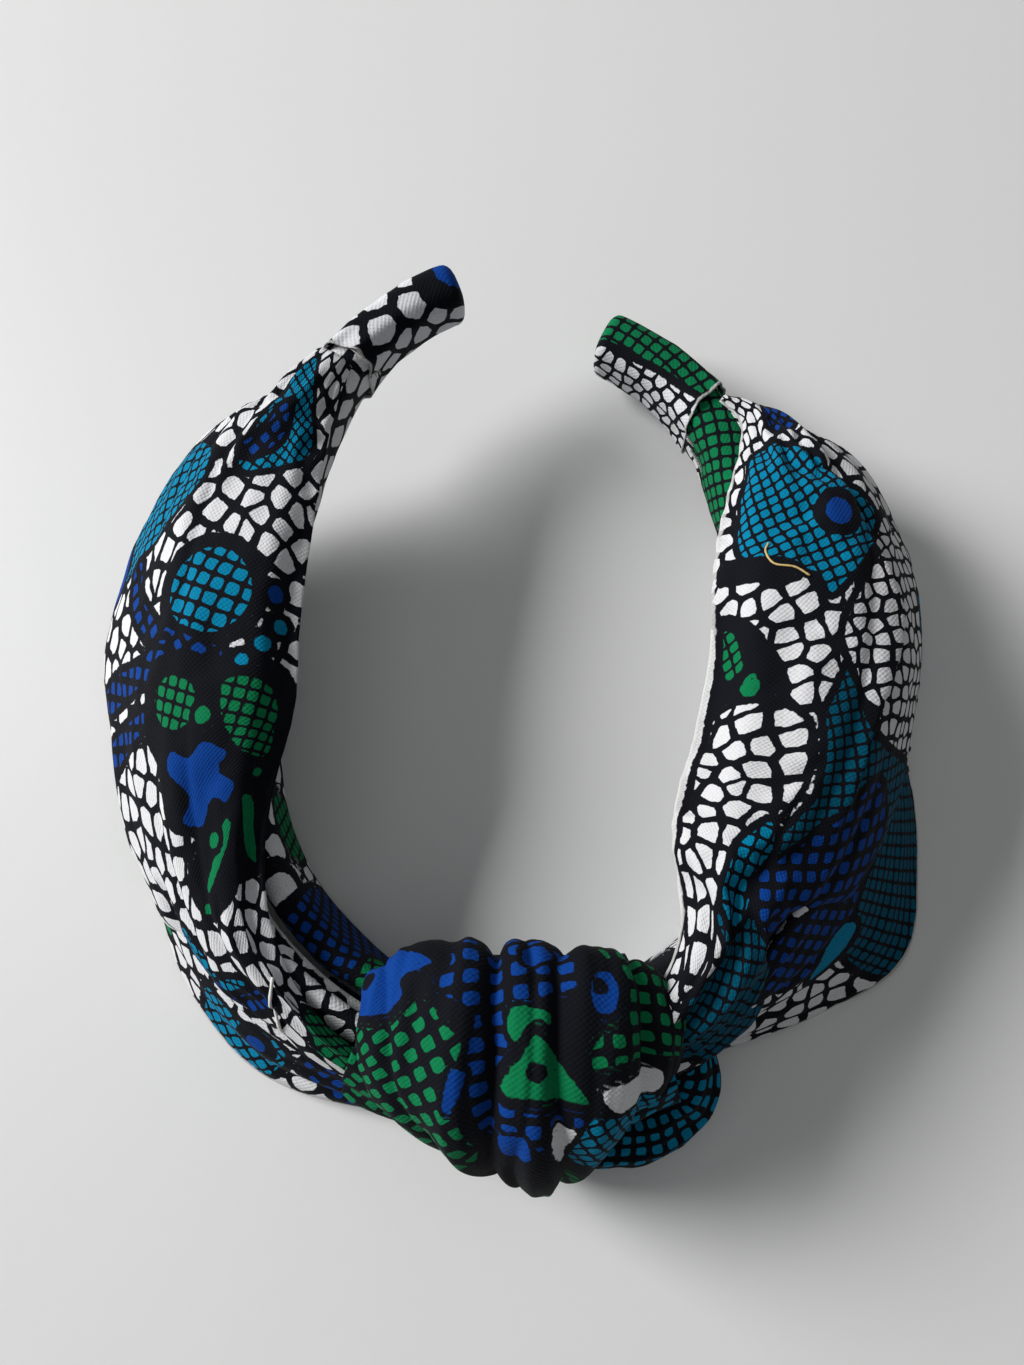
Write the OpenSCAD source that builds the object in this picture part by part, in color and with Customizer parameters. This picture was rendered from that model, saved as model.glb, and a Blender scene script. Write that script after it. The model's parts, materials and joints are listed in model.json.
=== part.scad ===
// Knotted headband: a flexible band in a padded fabric sleeve, with two wide
// folded straps gathered at its tips and knotted over its crown.
// Millimetres. +Z is up, +Y runs from the knot to the tips, +X is the right arm.
// It lies on the band's lower edge at z = 0.

/* [Band] */
// Radius of the crown's bend, to the middle of the band
crown_r = 55; // [46:0.5:70]
// Angle that each half of the crown's bend turns through
crown_turn = 88.75; // [87:0.25:90]
// Radius of the long, nearly straight stretch of each arm
side_r = 200; // [140:1:320]
// Angle that the long stretch turns through
side_turn = 20; // [14:0.5:24]
// Radius of the bend towards each tip
tip_r = 50; // [38:0.5:70]
// Angle that the bend towards each tip turns through
tip_turn = 45; // [36:0.5:54]
// Height of the sleeved band at the crown
crown_h = 25; // [20:0.5:34]
// Height of the sleeved band at the tips
tip_h = 14; // [11:0.5:18]
// How far the left arm is twisted up off the table, in degrees
left_lift = 9; // [0:0.5:10]
// How far the right arm is twisted up off the table, in degrees
right_lift = 0; // [0:0.5:10]

/* [Layers] */
// Thickness of the plastic core
core_t = 1.8; // [1.2:0.1:3]
// Thickness of the wadding on each side of the core
pad_t = 2; // [1:0.1:3]
// Thickness of the sleeve's cloth
sleeve_t = 0.6; // [0.4:0.1:1]
// Thickness of the folded end covers
cover_t = 0.7; // [0.4:0.1:1.2]
// Length of each end cover
cover_l = 24; // [16:1:32]
// Length of the thread lashing that gathers a strap onto the sleeve
lashing_l = 3; // [2:0.5:5]
// Thickness of the thread lashing
lashing_t = 1.8; // [1.2:0.1:2.4]

/* [Straps] */
// How far a strap stands out from the middle of the band, at its widest
strap_reach = 39; // [28:0.5:48]
// How far a strap stands out beside the knot
strap_reach_knot = 22; // [16:0.5:28]
// How far a strap leans in over the head opening, at its widest
strap_lean = 11; // [6:0.5:14]
// Height of a strap's ridge above the table
strap_top = 45; // [38:0.5:56]
// Height of a strap's outer edge above the table
strap_foot = 2; // [1:0.5:6]
// Thickness of one strap layer, two plies of cloth
strap_t = 1.4; // [1:0.1:2]
// Space between the two layers of a strap
strap_gap = 0.8; // [0.5:0.1:2]
// Length over which a strap swells out from its gathers
swell_l = 52; // [40:1:64]

/* [Knot] */
// Width of the knot along the band
knot_w = 49; // [40:0.5:49]
// Depth of the knot, from its head side to its front
knot_d = 45; // [40:0.5:54]
// Height of the knot
knot_h = 48; // [42:0.5:58]
// How far the knot leans in over the head opening
knot_lean = 10; // [6:0.5:14]
// Thickness of the outer loop's gathered cloth
wrap_t = 3; // [2:0.1:5]

/* [Flex] */
// Angle from the middle of the crown to the place where each arm flexes
flex_at = 32; // [30:0.5:38]
// Clearance round the flexing end of each arm
flex_clearance = 0.4; // [0.3:0.05:0.8]

/* [Hidden] */

$fn = 64;
// Middle height of the band above the table
mid_z = crown_h / 2;
// Half thicknesses of the core, the padded core, the sleeve and the end cover
core_half = core_t / 2;
pad_half = core_half + pad_t;
sleeve_half = pad_half + sleeve_t;
cover_half = sleeve_half + cover_t;
lashing_half = sleeve_half + lashing_t;

// Lengths along the middle of the band, from the middle of the crown
crown_len = crown_r * crown_turn * PI / 180;
side_len = side_r * side_turn * PI / 180;
tip_len = tip_r * tip_turn * PI / 180;
arm_end = crown_len + side_len + tip_len;
flex_s = crown_r * flex_at * PI / 180;
cover_s = arm_end + pad_half - cover_l;
strap_end = cover_s - lashing_l;

// Headings of the outward normal where the side and the tip's bend start
side_at = crown_turn - 90;
tip_at = side_at + side_turn;
// Centres of the side's and the tip's bend, before the whole is centred
side_c = (crown_r - side_r) * [cos(side_at), sin(side_at)];
tip_c = side_c + (side_r - tip_r) * [cos(tip_at), sin(tip_at)];
// Front of the knot and far end of the tips, measured from the crown's centre
knot_back = -(crown_r - sleeve_half - knot_lean);
knot_front = knot_back - knot_d;
end_turn = tip_at + tip_turn + (pad_t + sleeve_t + cover_t) / tip_r * 180 / PI;
tip_far = tip_c[1] + (tip_r + cover_half) * sin(end_turn);
// Shift that puts the origin under the middle of the whole
shift_y = -(knot_front + tip_far) / 2;

// Where each arm flexes
flex_x = crown_r * sin(flex_at);
flex_y = -crown_r * cos(flex_at);

// Share of the arm's twist that a strap's ridge and foot hang back by
strap_hang = 0.5;
// Least distance between the sleeve and a strap's head-side edge
strap_clear = 1;
// Share of its lean over the head opening that a strap loses beside the knot
lean_loss = 0.5;
// Share of a layer's inset that its foot is raised by
foot_share = 0.5;
// Squareness of a strap's cross-section where it hangs free, and how much
// squarer it gets where it hugs the band
strap_round = 2.2;
strap_square = 4;

// Size of the knot's ends as a share of its middle
knot_end = 0.72;
// Squareness of the knot's cross-section: 1 is an ellipse, less is squarer
knot_square = 0.8;

// Thickness of a tack stitch, the angle that it spans round the crown, the
// angle between two stitches and their height above the table
stitch_t = 0.5;
stitch_turn = 5;
stitch_step = flex_at / 3;
stitch_z = crown_h / 3;

// Length that a piece is drawn past the flexing place before it is cut there
flex_overlap = 5;
// Distance that a cutting piece sticks out of what it cuts
cut = 1;

// Number of points round the knot, and of steps along it
knot_points = 28;
knot_steps = 16;
// Number of steps that a route along an arm is cut into
route_steps = 36;
// Number of points across a strap
strap_steps = 12;
// Larger than anything in the model, for cutting blocks
far = 400;

// Heading angle of the outward normal at length s along the right arm
function normal_at(s) =
  s < crown_len ? -90 + s / crown_r * 180 / PI :
  s < crown_len + side_len ? side_at + (s - crown_len) / side_r * 180 / PI :
  tip_at + (s - crown_len - side_len) / tip_r * 180 / PI;

// Outward unit vector at length s
function out_at(s) = [cos(normal_at(s)), sin(normal_at(s))];

// Point at length s along the right arm, n outwards from its middle
function place(s, n) =
  s < crown_len ? (crown_r + n) * out_at(s) :
  s < crown_len + side_len ? side_c + (side_r + n) * out_at(s) :
  tip_c + (tip_r + n) * out_at(s);

// Smooth step from 0 at a to 1 at b
function ease(a, b, x) =
  let (t = min(1, max(0, (x - a) / (b - a)))) t * t * (3 - 2 * t);

// Half height of the sleeved band at distance y beyond the crown's centre
function half_h(y) = (crown_h + (tip_h - crown_h) * min(1, max(0, y / tip_far))) / 2;

// Lift of the arm's middle at y, for an arm twisted up by the angle lift
function lift_at(y, lift) = (y - flex_y) * tan(lift);

// Outline of a stretch of arm from s0 to s1 that is 2 * half thick
function arm_outline(s0, s1, half) =
  let (step = (s1 - s0) / route_steps)
    concat(
      [for (i = [0:route_steps]) place(s0 + i * step, half)],
      [for (i = [route_steps:-1:0]) place(s0 + i * step, -half)]
    );

// A block that the band's upper and lower edges are cut to, inset all round
module height_profile(inset) {
  rotate([90, 0, 90])
    linear_extrude(far, center = true)
      polygon([
        [-far, mid_z - crown_h / 2 + inset],
        [0, mid_z - crown_h / 2 + inset],
        [tip_far, mid_z - tip_h / 2 + inset],
        [tip_far, mid_z + tip_h / 2 - inset],
        [0, mid_z + crown_h / 2 - inset],
        [-far, mid_z + crown_h / 2 - inset]
      ]);
}

// Twists an arm's piece up off the table about the place where the arm flexes
module twisted_up(lift) {
  translate([0, flex_y, mid_z])
    rotate([lift, 0, 0])
      translate([0, -flex_y, -mid_z])
        children();
}

// Keeps what lies on the arm's side of the flexing place and above the table
module arm_side() {
  intersection() {
    children();
    translate([flex_x, flex_y, 0])
      rotate(flex_at)
        translate([0, -far / 2, 0])
          cube([far, far, far]);
  }
}

// One solid layer of an arm: its stretch from the flexing place to s_end
module arm_layer(half, inset, s_end, lift) {
  arm_side()
    twisted_up(lift)
      intersection() {
        translate([0, 0, -far / 2])
          linear_extrude(far)
            polygon(arm_outline(flex_s - flex_overlap, s_end, half));
        height_profile(inset);
      }
  translate([flex_x, flex_y, inset])
    cylinder(h = crown_h - 2 * inset, r = half);
}

// One solid layer of a short stretch of arm, clear of the flexing place
module arm_stretch(half, inset, s0, s1, lift) {
  twisted_up(lift)
    intersection() {
      translate([0, 0, -far / 2])
        linear_extrude(far)
          polygon(arm_outline(s0, s1, half));
      height_profile(inset);
    }
}

// One solid layer of the crown, between the two flexing places
module crown_layer(half, inset) {
  difference() {
    rotate(-90 - flex_at)
      rotate_extrude(angle = 2 * flex_at)
        translate([crown_r - half, inset])
          square([2 * half, crown_h - 2 * inset]);
    for (side = [-1, 1])
      translate([side * flex_x, flex_y, -cut])
        cylinder(h = crown_h + 2 * cut, r = sleeve_half + flex_clearance);
  }
}

module core_arm(lift) {
  arm_layer(core_half, sleeve_t + pad_t, arm_end, lift);
}

module padding_arm(lift) {
  difference() {
    arm_layer(pad_half, sleeve_t, arm_end + pad_t, lift);
    core_arm(lift);
  }
}

// An arm's whole section out to its sleeve, which the other pieces are cut to
module arm_outer(lift) {
  arm_layer(sleeve_half, 0, arm_end + pad_t + sleeve_t, lift);
}

module sleeve_arm(lift) {
  difference() {
    arm_outer(lift);
    arm_layer(pad_half, sleeve_t, arm_end + pad_t, lift);
  }
}

module end_cover(lift) {
  difference() {
    arm_stretch(cover_half, -cover_t, cover_s, arm_end + pad_t + sleeve_t + cover_t, lift);
    arm_outer(lift);
  }
}

module gather_lashing(lift) {
  difference() {
    arm_stretch(lashing_half, -lashing_t, strap_end, cover_s, lift);
    arm_outer(lift);
  }
}

// How much of its full spread a strap has at length s, from 0 to 1
function swell(s) = 1 - ease(strap_end - swell_l, strap_end, s);

// How much of its narrowing towards the knot a strap has at length s
function pinch(s) = 1 - ease(flex_s, crown_len, s);

// A strap's reach, lean, ridge and foot at length s, for a surface that lies
// inset below the strap's outermost one
function strap_out(s, inset) =
  let (full = strap_reach + (strap_reach_knot - strap_reach) * pinch(s))
    lashing_half + (full - lashing_half) * swell(s) - inset;
function strap_in(s) =
  let (hug = sleeve_half + strap_clear)
    hug + (strap_lean - hug) * swell(s) * (1 - lean_loss * pinch(s));
function strap_ridge(s, y, lift, inset) =
  let (hug = mid_z + half_h(y) + lashing_t, top = strap_top - lift_at(y, lift) * strap_hang)
    hug + (top - hug) * swell(s) - inset;
function strap_low(s, y, lift, inset) =
  let (hug = mid_z - half_h(y), foot = strap_foot - lift_at(y, lift) * strap_hang)
    hug + (foot - hug) * swell(s) + inset * foot_share;
// Squareness of a strap's cross-section at length s
function boxiness(s) = strap_round + strap_square * (1 - swell(s));

// Point on a strap's surface: t runs from its head-side edge to its outer edge
function strap_point(s, t, lift, inset) =
  let (
    y = place(s, 0)[1],
    power = 2 / boxiness(s),
    lean = strap_in(s),
    low = strap_low(s, y, lift, inset),
    n = -lean + (strap_out(s, inset) + lean) * pow(sin(90 * t), power),
    z = low + (strap_ridge(s, y, lift, inset) - low) * pow(cos(90 * t), power),
    p = place(s, n)
  ) [p[0], p[1], z];

// A closed ring of points round one layer's cross-section at length s
function strap_ring(s, lift, inset) = concat(
  [for (i = [0:strap_steps]) strap_point(s, i / strap_steps, lift, inset)],
  [for (i = [strap_steps:-1:0]) strap_point(s, i / strap_steps, lift, inset + strap_t)]
);

// Skins a list of equal rings into one closed solid
module skin(rings) {
  n = len(rings[0]);
  last = len(rings) - 1;
  points = [for (ring = rings) each ring];
  sides = [
    for (i = [0:last - 1], j = [0:n - 1])
      let (k = (j + 1) % n)
        each [
          [i * n + j, (i + 1) * n + k, i * n + k],
          [i * n + j, (i + 1) * n + j, (i + 1) * n + k]
        ]
  ];
  // The end caps are fans between opposite points of a ring
  half_n = n / 2;
  caps = [
    for (j = [0:half_n - 2])
      each [
        [n - 1 - j, j + 1, n - 2 - j],
        [n - 1 - j, j, j + 1],
        [last * n + j, last * n + n - 2 - j, last * n + j + 1],
        [last * n + j, last * n + n - 1 - j, last * n + n - 2 - j]
      ]
  ];
  polyhedron(points, concat(sides, caps), convexity = 6);
}

// One layer of a strap, cut to the flexing plane, the table and the sleeve
module strap_layer(lift, inset) {
  difference() {
    arm_side()
      twisted_up(lift)
        skin([
          for (i = [0:route_steps])
            let (start = flex_s - flex_overlap)
              strap_ring(start + (strap_end - start) * i / route_steps, lift, inset)
        ]);
    arm_outer(lift);
  }
}

module strap_upper(lift) {
  strap_layer(lift, 0);
}

module strap_lower(lift) {
  strap_layer(lift, strap_t + strap_gap);
}

// Ring of points round the knot at x, inset by a wall
function knot_ring(x, inset) =
  let (
    bulge = knot_end + (1 - knot_end) * sqrt(max(0, 1 - pow(2 * x / knot_w, 2))),
    mid_y = (knot_back + knot_front) / 2,
    half_d = knot_d / 2 * bulge - inset,
    half_k = knot_h / 2 * bulge - inset
  )
    [for (i = [0:knot_points - 1])
      let (
        a = 360 * (i + 0.5) / knot_points,
        c = cos(a),
        w = sin(a)
      )
        [
          x,
          mid_y + half_d * sign(c) * pow(abs(c), knot_square),
          knot_h / 2 + half_k * sign(w) * pow(abs(w), knot_square)
        ]];

// Solid knot form, inset all round by a wall and half_w either side of its middle
module knot_form(inset, half_w) {
  skin([for (i = [0:knot_steps]) knot_ring(-half_w * cos(180 * i / knot_steps), inset)]);
}

// The knot's heart and hollow, long enough to cut through both ends of the wrap
module knot_core() {
  knot_form(wrap_t, knot_w / 2 + cut);
}

// The crown and the head opening inside it, which the knot stays clear of
module crown_and_head() {
  cylinder(h = crown_h, r = crown_r + sleeve_half);
}

// A short stitch that hugs the sleeve's head side at the angle a and height z
module stitch(a, z) {
  rotate(-90 + a - stitch_turn / 2)
    rotate_extrude(angle = stitch_turn)
      translate([crown_r - sleeve_half - stitch_t, z])
        square([stitch_t, stitch_t]);
}

// Moves the model so that the origin is under the middle of the whole
module whole() {
  translate([0, shift_y, 0])
    children();
}

// Makes a left arm's piece from the right arm's
module left() {
  mirror([1, 0, 0])
    children();
}

module core_crown() {
  color("gainsboro")
    whole()
      crown_layer(core_half, sleeve_t + pad_t);
}

module core_left_arm() {
  color("gainsboro")
    whole()
      left()
        core_arm(left_lift);
}

module core_right_arm() {
  color("gainsboro")
    whole()
      core_arm(right_lift);
}

module padding_crown() {
  color("ivory")
    whole()
      difference() {
        crown_layer(pad_half, sleeve_t);
        crown_layer(core_half, sleeve_t + pad_t);
      }
}

module padding_left_arm() {
  color("ivory")
    whole()
      left()
        padding_arm(left_lift);
}

module padding_right_arm() {
  color("ivory")
    whole()
      padding_arm(right_lift);
}

module sleeve_crown() {
  color("royalblue")
    whole()
      difference() {
        crown_layer(sleeve_half, 0);
        crown_layer(pad_half, sleeve_t);
      }
}

module sleeve_left_arm() {
  color("white")
    whole()
      left()
        sleeve_arm(left_lift);
}

module sleeve_right_arm() {
  color("seagreen")
    whole()
      sleeve_arm(right_lift);
}

module end_cover_left() {
  color("midnightblue")
    whole()
      left()
        end_cover(left_lift);
}

module end_cover_right() {
  color("seagreen")
    whole()
      end_cover(right_lift);
}

module gather_lashing_left() {
  color("white")
    whole()
      left()
        gather_lashing(left_lift);
}

module gather_lashing_right() {
  color("white")
    whole()
      gather_lashing(right_lift);
}

module strap_left_upper() {
  color("darkcyan")
    whole()
      left()
        strap_upper(left_lift);
}

module strap_left_lower() {
  color("whitesmoke")
    whole()
      left()
        strap_lower(left_lift);
}

module strap_right_upper() {
  color("darkcyan")
    whole()
      strap_upper(right_lift);
}

module strap_right_lower() {
  color("whitesmoke")
    whole()
      strap_lower(right_lift);
}

module knot_wrap() {
  color("royalblue")
    whole()
      difference() {
        knot_form(0, knot_w / 2);
        knot_core();
        crown_and_head();
      }
}

module knot_heart() {
  color("seagreen")
    whole()
      difference() {
        intersection() {
          knot_core();
          translate([-knot_w / 2, -far / 2, 0])
            cube([knot_w, far, far]);
        }
        crown_and_head();
      }
}

module knot_tack() {
  color("white")
    whole()
      for (i = [-1:1])
        stitch(i * stitch_step, stitch_z);
}

core_crown();
core_left_arm();
core_right_arm();
padding_crown();
padding_left_arm();
padding_right_arm();
sleeve_crown();
sleeve_left_arm();
sleeve_right_arm();
end_cover_left();
end_cover_right();
gather_lashing_left();
gather_lashing_right();
strap_left_upper();
strap_left_lower();
strap_right_upper();
strap_right_lower();
knot_wrap();
knot_heart();
knot_tack();
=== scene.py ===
"""Knotted headband in printed cotton, lying on its edge on a pale table."""
import json
import math

import bmesh
import bpy
import numpy as np
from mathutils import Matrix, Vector, noise


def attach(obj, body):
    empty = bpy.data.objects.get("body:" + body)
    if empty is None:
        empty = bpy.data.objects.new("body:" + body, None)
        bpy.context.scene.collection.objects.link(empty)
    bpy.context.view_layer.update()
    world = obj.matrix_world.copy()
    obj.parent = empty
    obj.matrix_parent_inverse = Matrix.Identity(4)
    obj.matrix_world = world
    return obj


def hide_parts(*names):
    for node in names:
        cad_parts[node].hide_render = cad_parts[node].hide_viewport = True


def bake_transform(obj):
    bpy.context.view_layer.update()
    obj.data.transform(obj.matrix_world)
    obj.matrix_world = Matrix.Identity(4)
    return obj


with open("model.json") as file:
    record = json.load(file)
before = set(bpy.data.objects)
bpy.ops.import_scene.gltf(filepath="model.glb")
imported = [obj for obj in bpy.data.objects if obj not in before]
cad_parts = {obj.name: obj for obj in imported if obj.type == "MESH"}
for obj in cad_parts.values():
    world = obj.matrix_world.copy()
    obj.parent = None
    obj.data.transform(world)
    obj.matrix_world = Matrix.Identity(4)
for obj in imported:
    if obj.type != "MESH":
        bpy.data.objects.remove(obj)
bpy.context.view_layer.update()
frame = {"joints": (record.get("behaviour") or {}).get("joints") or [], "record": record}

# ---------------------------------------------------------------- dimensions
# Cloth is worked out in millimetres and made in metres.
MM = 0.001
CROWN_R = 55.0  # the crown's bend, to the middle of the band
CROWN_TURN = math.radians(88.75)
SIDE_R = 200.0  # the long stretch of each arm
SIDE_TURN = math.radians(20.0)
TIP_R = 50.0  # the bend towards each tip
TIP_TURN = math.radians(45.0)
CROWN_H = 25.0  # height of the band at the crown
TIP_H = 14.0  # height of the band at the tips
CORE_HALF = 0.9  # half the core's thickness
PAD_HALF = 2.9  # half the padded core's thickness
SLEEVE_HALF = 3.5  # half the sleeved band's thickness
COVER_LEN = 24.0  # length of each folded end cover
LASHING_LEN = 3.0  # length of the thread that gathers each strap
LIFT = {"left": math.radians(9.0), "right": 0.0}  # how far each arm twists up
SIGN = {"left": -1.0, "right": 1.0}
SIDES = ("left", "right")
BODY = {"left": "left_arm", "right": "right_arm"}
MID_Z = CROWN_H / 2

JOINTS = {j["name"]: j for j in frame["joints"]}
FLEX_X, FLEX_Y = (v / MM for v in JOINTS["right_arm_flex"]["pos_m"][:2])
FLEX_TURN = math.asin(FLEX_X / CROWN_R)
FLEX_S = CROWN_R * FLEX_TURN
CENTRE_Y = FLEX_Y + CROWN_R * math.cos(FLEX_TURN)  # centre of the crown's bend

CROWN_LEN = CROWN_R * CROWN_TURN
SIDE_LEN = SIDE_R * SIDE_TURN
ARM_END = CROWN_LEN + SIDE_LEN + TIP_R * TIP_TURN
COVER_S = ARM_END + PAD_HALF - COVER_LEN  # where each end cover starts
STRAP_END = COVER_S - LASHING_LEN  # where each strap is gathered onto the sleeve

# Headings where the side and the tip's bend start, and the centres of both
SIDE_AT = CROWN_TURN - math.pi / 2
TIP_AT = SIDE_AT + SIDE_TURN
SIDE_C = ((CROWN_R - SIDE_R) * math.cos(SIDE_AT), (CROWN_R - SIDE_R) * math.sin(SIDE_AT))
TIP_C = (
    SIDE_C[0] + (SIDE_R - TIP_R) * math.cos(TIP_AT),
    SIDE_C[1] + (SIDE_R - TIP_R) * math.sin(TIP_AT),
)


# ---------------------------------------------------------------- small maths
def ease(a, b, x):
    """Smooth step from 0 at a to 1 at b."""
    t = np.clip((np.asarray(x, float) - a) / (b - a), 0, 1)
    return t * t * (3 - 2 * t)


def soft_noise(points, scale, seed):
    """Smooth noise from -1 to 1 at each point, the same in every run."""
    flat = np.asarray(points, float)
    flat = flat.reshape(-1, flat.shape[-1])
    out = np.empty(len(flat))
    for i, p in enumerate(flat):
        z = p[2] / scale if len(p) > 2 else 0.0
        out[i] = noise.noise(Vector((p[0] / scale + seed, p[1] / scale, z + seed * 0.37)))
    return out.reshape(np.shape(points)[:-1])


def spline(keys, values, x):
    """Smooth curve through values at keys, read at x."""
    keys = np.asarray(keys, float)
    values = np.asarray(values, float)
    slope = np.gradient(values, keys, axis=0)
    x = np.clip(x, keys[0], keys[-1])
    i = np.clip(np.searchsorted(keys, x) - 1, 0, len(keys) - 2)
    h = keys[i + 1] - keys[i]
    t = (x - keys[i]) / h
    if values.ndim > 1:
        shape = (-1,) + (1,) * (values.ndim - 1)
        h, t = h.reshape(shape), t.reshape(shape)
    a = (1 + 2 * t) * (1 - t) ** 2 * values[i]
    b = t * (1 - t) ** 2 * h * slope[i]
    c = t * t * (3 - 2 * t) * values[i + 1]
    d = t * t * (t - 1) * h * slope[i + 1]
    return a + b + c + d


def along(points, count):
    """A smooth curve through each row of control points, evenly spaced."""
    rows = []
    for row in points:
        fine = spline(np.arange(len(row)), row, np.linspace(0, len(row) - 1, 160))
        step = np.linalg.norm(np.diff(fine, axis=0), axis=1)
        run = np.concatenate([[0], np.cumsum(step)])
        want = np.linspace(0, run[-1], count)
        rows.append(np.stack([np.interp(want, run, fine[:, k]) for k in range(fine.shape[1])], -1))
    return np.array(rows)


def unit(v):
    return v / np.maximum(np.linalg.norm(v, axis=-1, keepdims=True), 1e-9)


def normals_of(grid):
    """Unit normals of a grid of points."""
    return unit(np.cross(np.gradient(grid, axis=0), np.gradient(grid, axis=1)))


def run_along(points):
    """Length along a row of points, from its first."""
    return np.concatenate([[0], np.cumsum(np.linalg.norm(np.diff(points, axis=0), axis=1))])


def crease(x, width):
    """A sharp valley at x = 0, from -1 there to 0 well away from it."""
    return -np.exp(-np.sqrt((x / width) ** 2 + 0.04) + 0.2)


# ---------------------------------------------------------------- band's route
def half_height(y):
    """Half the sleeved band's height at y beyond the crown's centre."""
    far = TIP_C[1] + (TIP_R + 4.2) * math.sin(TIP_AT + TIP_TURN)
    return (CROWN_H + (TIP_H - CROWN_H) * np.clip(y / far, 0, 1)) / 2


def route(s):
    """Middle of the right arm at length s, and the outward unit vector there."""
    s = np.asarray(s, float)
    in_crown, in_side = s < CROWN_LEN, s < CROWN_LEN + SIDE_LEN
    turn = np.where(
        in_crown,
        -math.pi / 2 + s / CROWN_R,
        np.where(
            in_side,
            SIDE_AT + (s - CROWN_LEN) / SIDE_R,
            TIP_AT + (s - CROWN_LEN - SIDE_LEN) / TIP_R,
        ),
    )
    out = np.stack([np.cos(turn), np.sin(turn)], -1)
    cx = np.where(in_crown, 0.0, np.where(in_side, SIDE_C[0], TIP_C[0]))
    cy = np.where(in_crown, 0.0, np.where(in_side, SIDE_C[1], TIP_C[1]))
    r = np.where(in_crown, CROWN_R, np.where(in_side, SIDE_R, TIP_R))
    return np.stack([cx, cy], -1) + out * r[..., None], out


def place(side, s, n, z, twist=True):
    """Point at length s, n outwards and height z, twisted up with its arm."""
    middle, out = route(s)
    p = middle + out * np.asarray(n, float)[..., None]
    y = p[..., 1] + CENTRE_Y
    z = np.asarray(z, float)
    if twist:
        a = LIFT[side] * ease(FLEX_S - 6, FLEX_S + 10, s)
        dy, dz = y - FLEX_Y, z - MID_Z
        y = FLEX_Y + dy * np.cos(a) - dz * np.sin(a)
        z = MID_Z + dy * np.sin(a) + dz * np.cos(a)
    x = SIGN[side] * p[..., 0]
    return np.stack([x, y, z * np.ones_like(y)], -1)


# ---------------------------------------------------------------- mesh making
def link(name, data):
    """An object in the scene that shows a mesh, a lamp or a camera."""
    ob = bpy.data.objects.new(name, data)
    bpy.context.scene.collection.objects.link(ob)
    return ob


def smooth_object(name, mesh, bm):
    """An object from an edited mesh, shaded smooth."""
    bm.to_mesh(mesh)
    bm.free()
    ob = link(name, mesh)
    mesh.polygons.foreach_set("use_smooth", [True] * len(mesh.polygons))
    return ob


def new_object(name, verts, faces):
    """A mesh object from points in millimetres, its faces turned outwards."""
    mesh = bpy.data.meshes.new(name)
    mesh.from_pydata((np.asarray(verts, float) * MM).tolist(), [], faces)
    bm = bmesh.new()
    bm.from_mesh(mesh)
    bmesh.ops.recalc_face_normals(bm, faces=bm.faces)
    return smooth_object(name, mesh, bm)


def grid_faces(nu, nv, wrap_v=False):
    """Quads of a grid of nu by nv points."""
    faces = []
    for i in range(nu - 1):
        for j in range(nv if wrap_v else nv - 1):
            k = (j + 1) % nv
            faces.append((i * nv + j, (i + 1) * nv + j, (i + 1) * nv + k, i * nv + k))
    return faces


def set_attribute(ob, name, *columns):
    """Stores one value, vector or colour for each vertex."""
    values = np.column_stack(columns)
    kinds = {1: ("FLOAT", "value"), 3: ("FLOAT_VECTOR", "vector"), 4: ("FLOAT_COLOR", "color")}
    kind, field = kinds[values.shape[1]]
    layer = ob.data.attributes.new(name, kind, "POINT")
    layer.data.foreach_set(field, values.astype(np.float32).ravel())


ROLL = np.linspace(0, math.pi, 6)[1:-1]  # steps round a folded edge
FLOOR = 0.1  # lowest that cloth lies above the table


def folded_sheet(name, grid, cloth, thick):
    """A flat tube of cloth: a face, a back and rolled edges. Returns the object
    with each point's place on the cloth and its distance from a folded edge."""
    nu = len(grid)
    n = normals_of(grid)

    def rolled(j, inner):
        inward = unit(grid[:, inner] - grid[:, j])
        half = thick / 2
        rows = [
            grid[:, j] - n[:, j] * half * (1 - math.cos(a)) - inward * half * math.sin(a)
            for a in ROLL
        ]
        return np.stack(rows, 1)

    back = (grid - n * thick)[:, ::-1]
    ring = np.concatenate([grid, rolled(-1, -2), back, rolled(0, 1)[:, ::-1]], axis=1)
    ring[..., 2] = np.maximum(ring[..., 2], FLOOR)
    width = np.linalg.norm(np.diff(grid, axis=1), axis=-1)
    across = np.concatenate([np.zeros((nu, 1)), np.cumsum(width, 1)], 1)
    hem = np.minimum(across, across[:, -1:] - across)
    k = len(ROLL)
    zero = np.zeros((nu, k))
    ring_hem = np.concatenate([hem, zero, hem[:, ::-1], zero], 1)
    first, last = np.repeat(cloth[:, :1], k, 1), np.repeat(cloth[:, -1:], k, 1)
    ring_cloth = np.concatenate([cloth, last, cloth[:, ::-1], first], axis=1)
    m = ring.shape[1]
    faces = grid_faces(nu, m, wrap_v=True)
    # The two ends are closed by strips between the face and the back
    for base in (0, (nu - 1) * m):
        a, b = 0, m - 1
        while b - a > 1:
            faces.append(tuple(base + q for q in dict.fromkeys((a, a + 1, b - 1, b))))
            a, b = a + 1, b - 1
    ob = new_object(name, ring.reshape(-1, 3), faces)
    return ob, ring_cloth.reshape(-1, 2), ring_hem.ravel()


def end_rings(grid, depth, shrink=0.6):
    """Rings that round off a tube's last ring like a soft pillow."""
    centre = grid[-1].mean(0)
    axis = unit(centre - grid[-3].mean(0))
    rings = []
    spread = grid[-1] - centre
    for a in np.linspace(0, math.pi / 2, 6)[1:]:
        rings.append(centre + spread * (1 - (1 - math.cos(a)) * shrink) + axis * depth * math.sin(a))
    for k in range(1, 5):
        narrow = (1 - shrink) * (1 - k / 4.2)
        rings.append(centre + spread * narrow + axis * depth * (1 + 0.03 * k))
    return np.array(rings)


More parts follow.
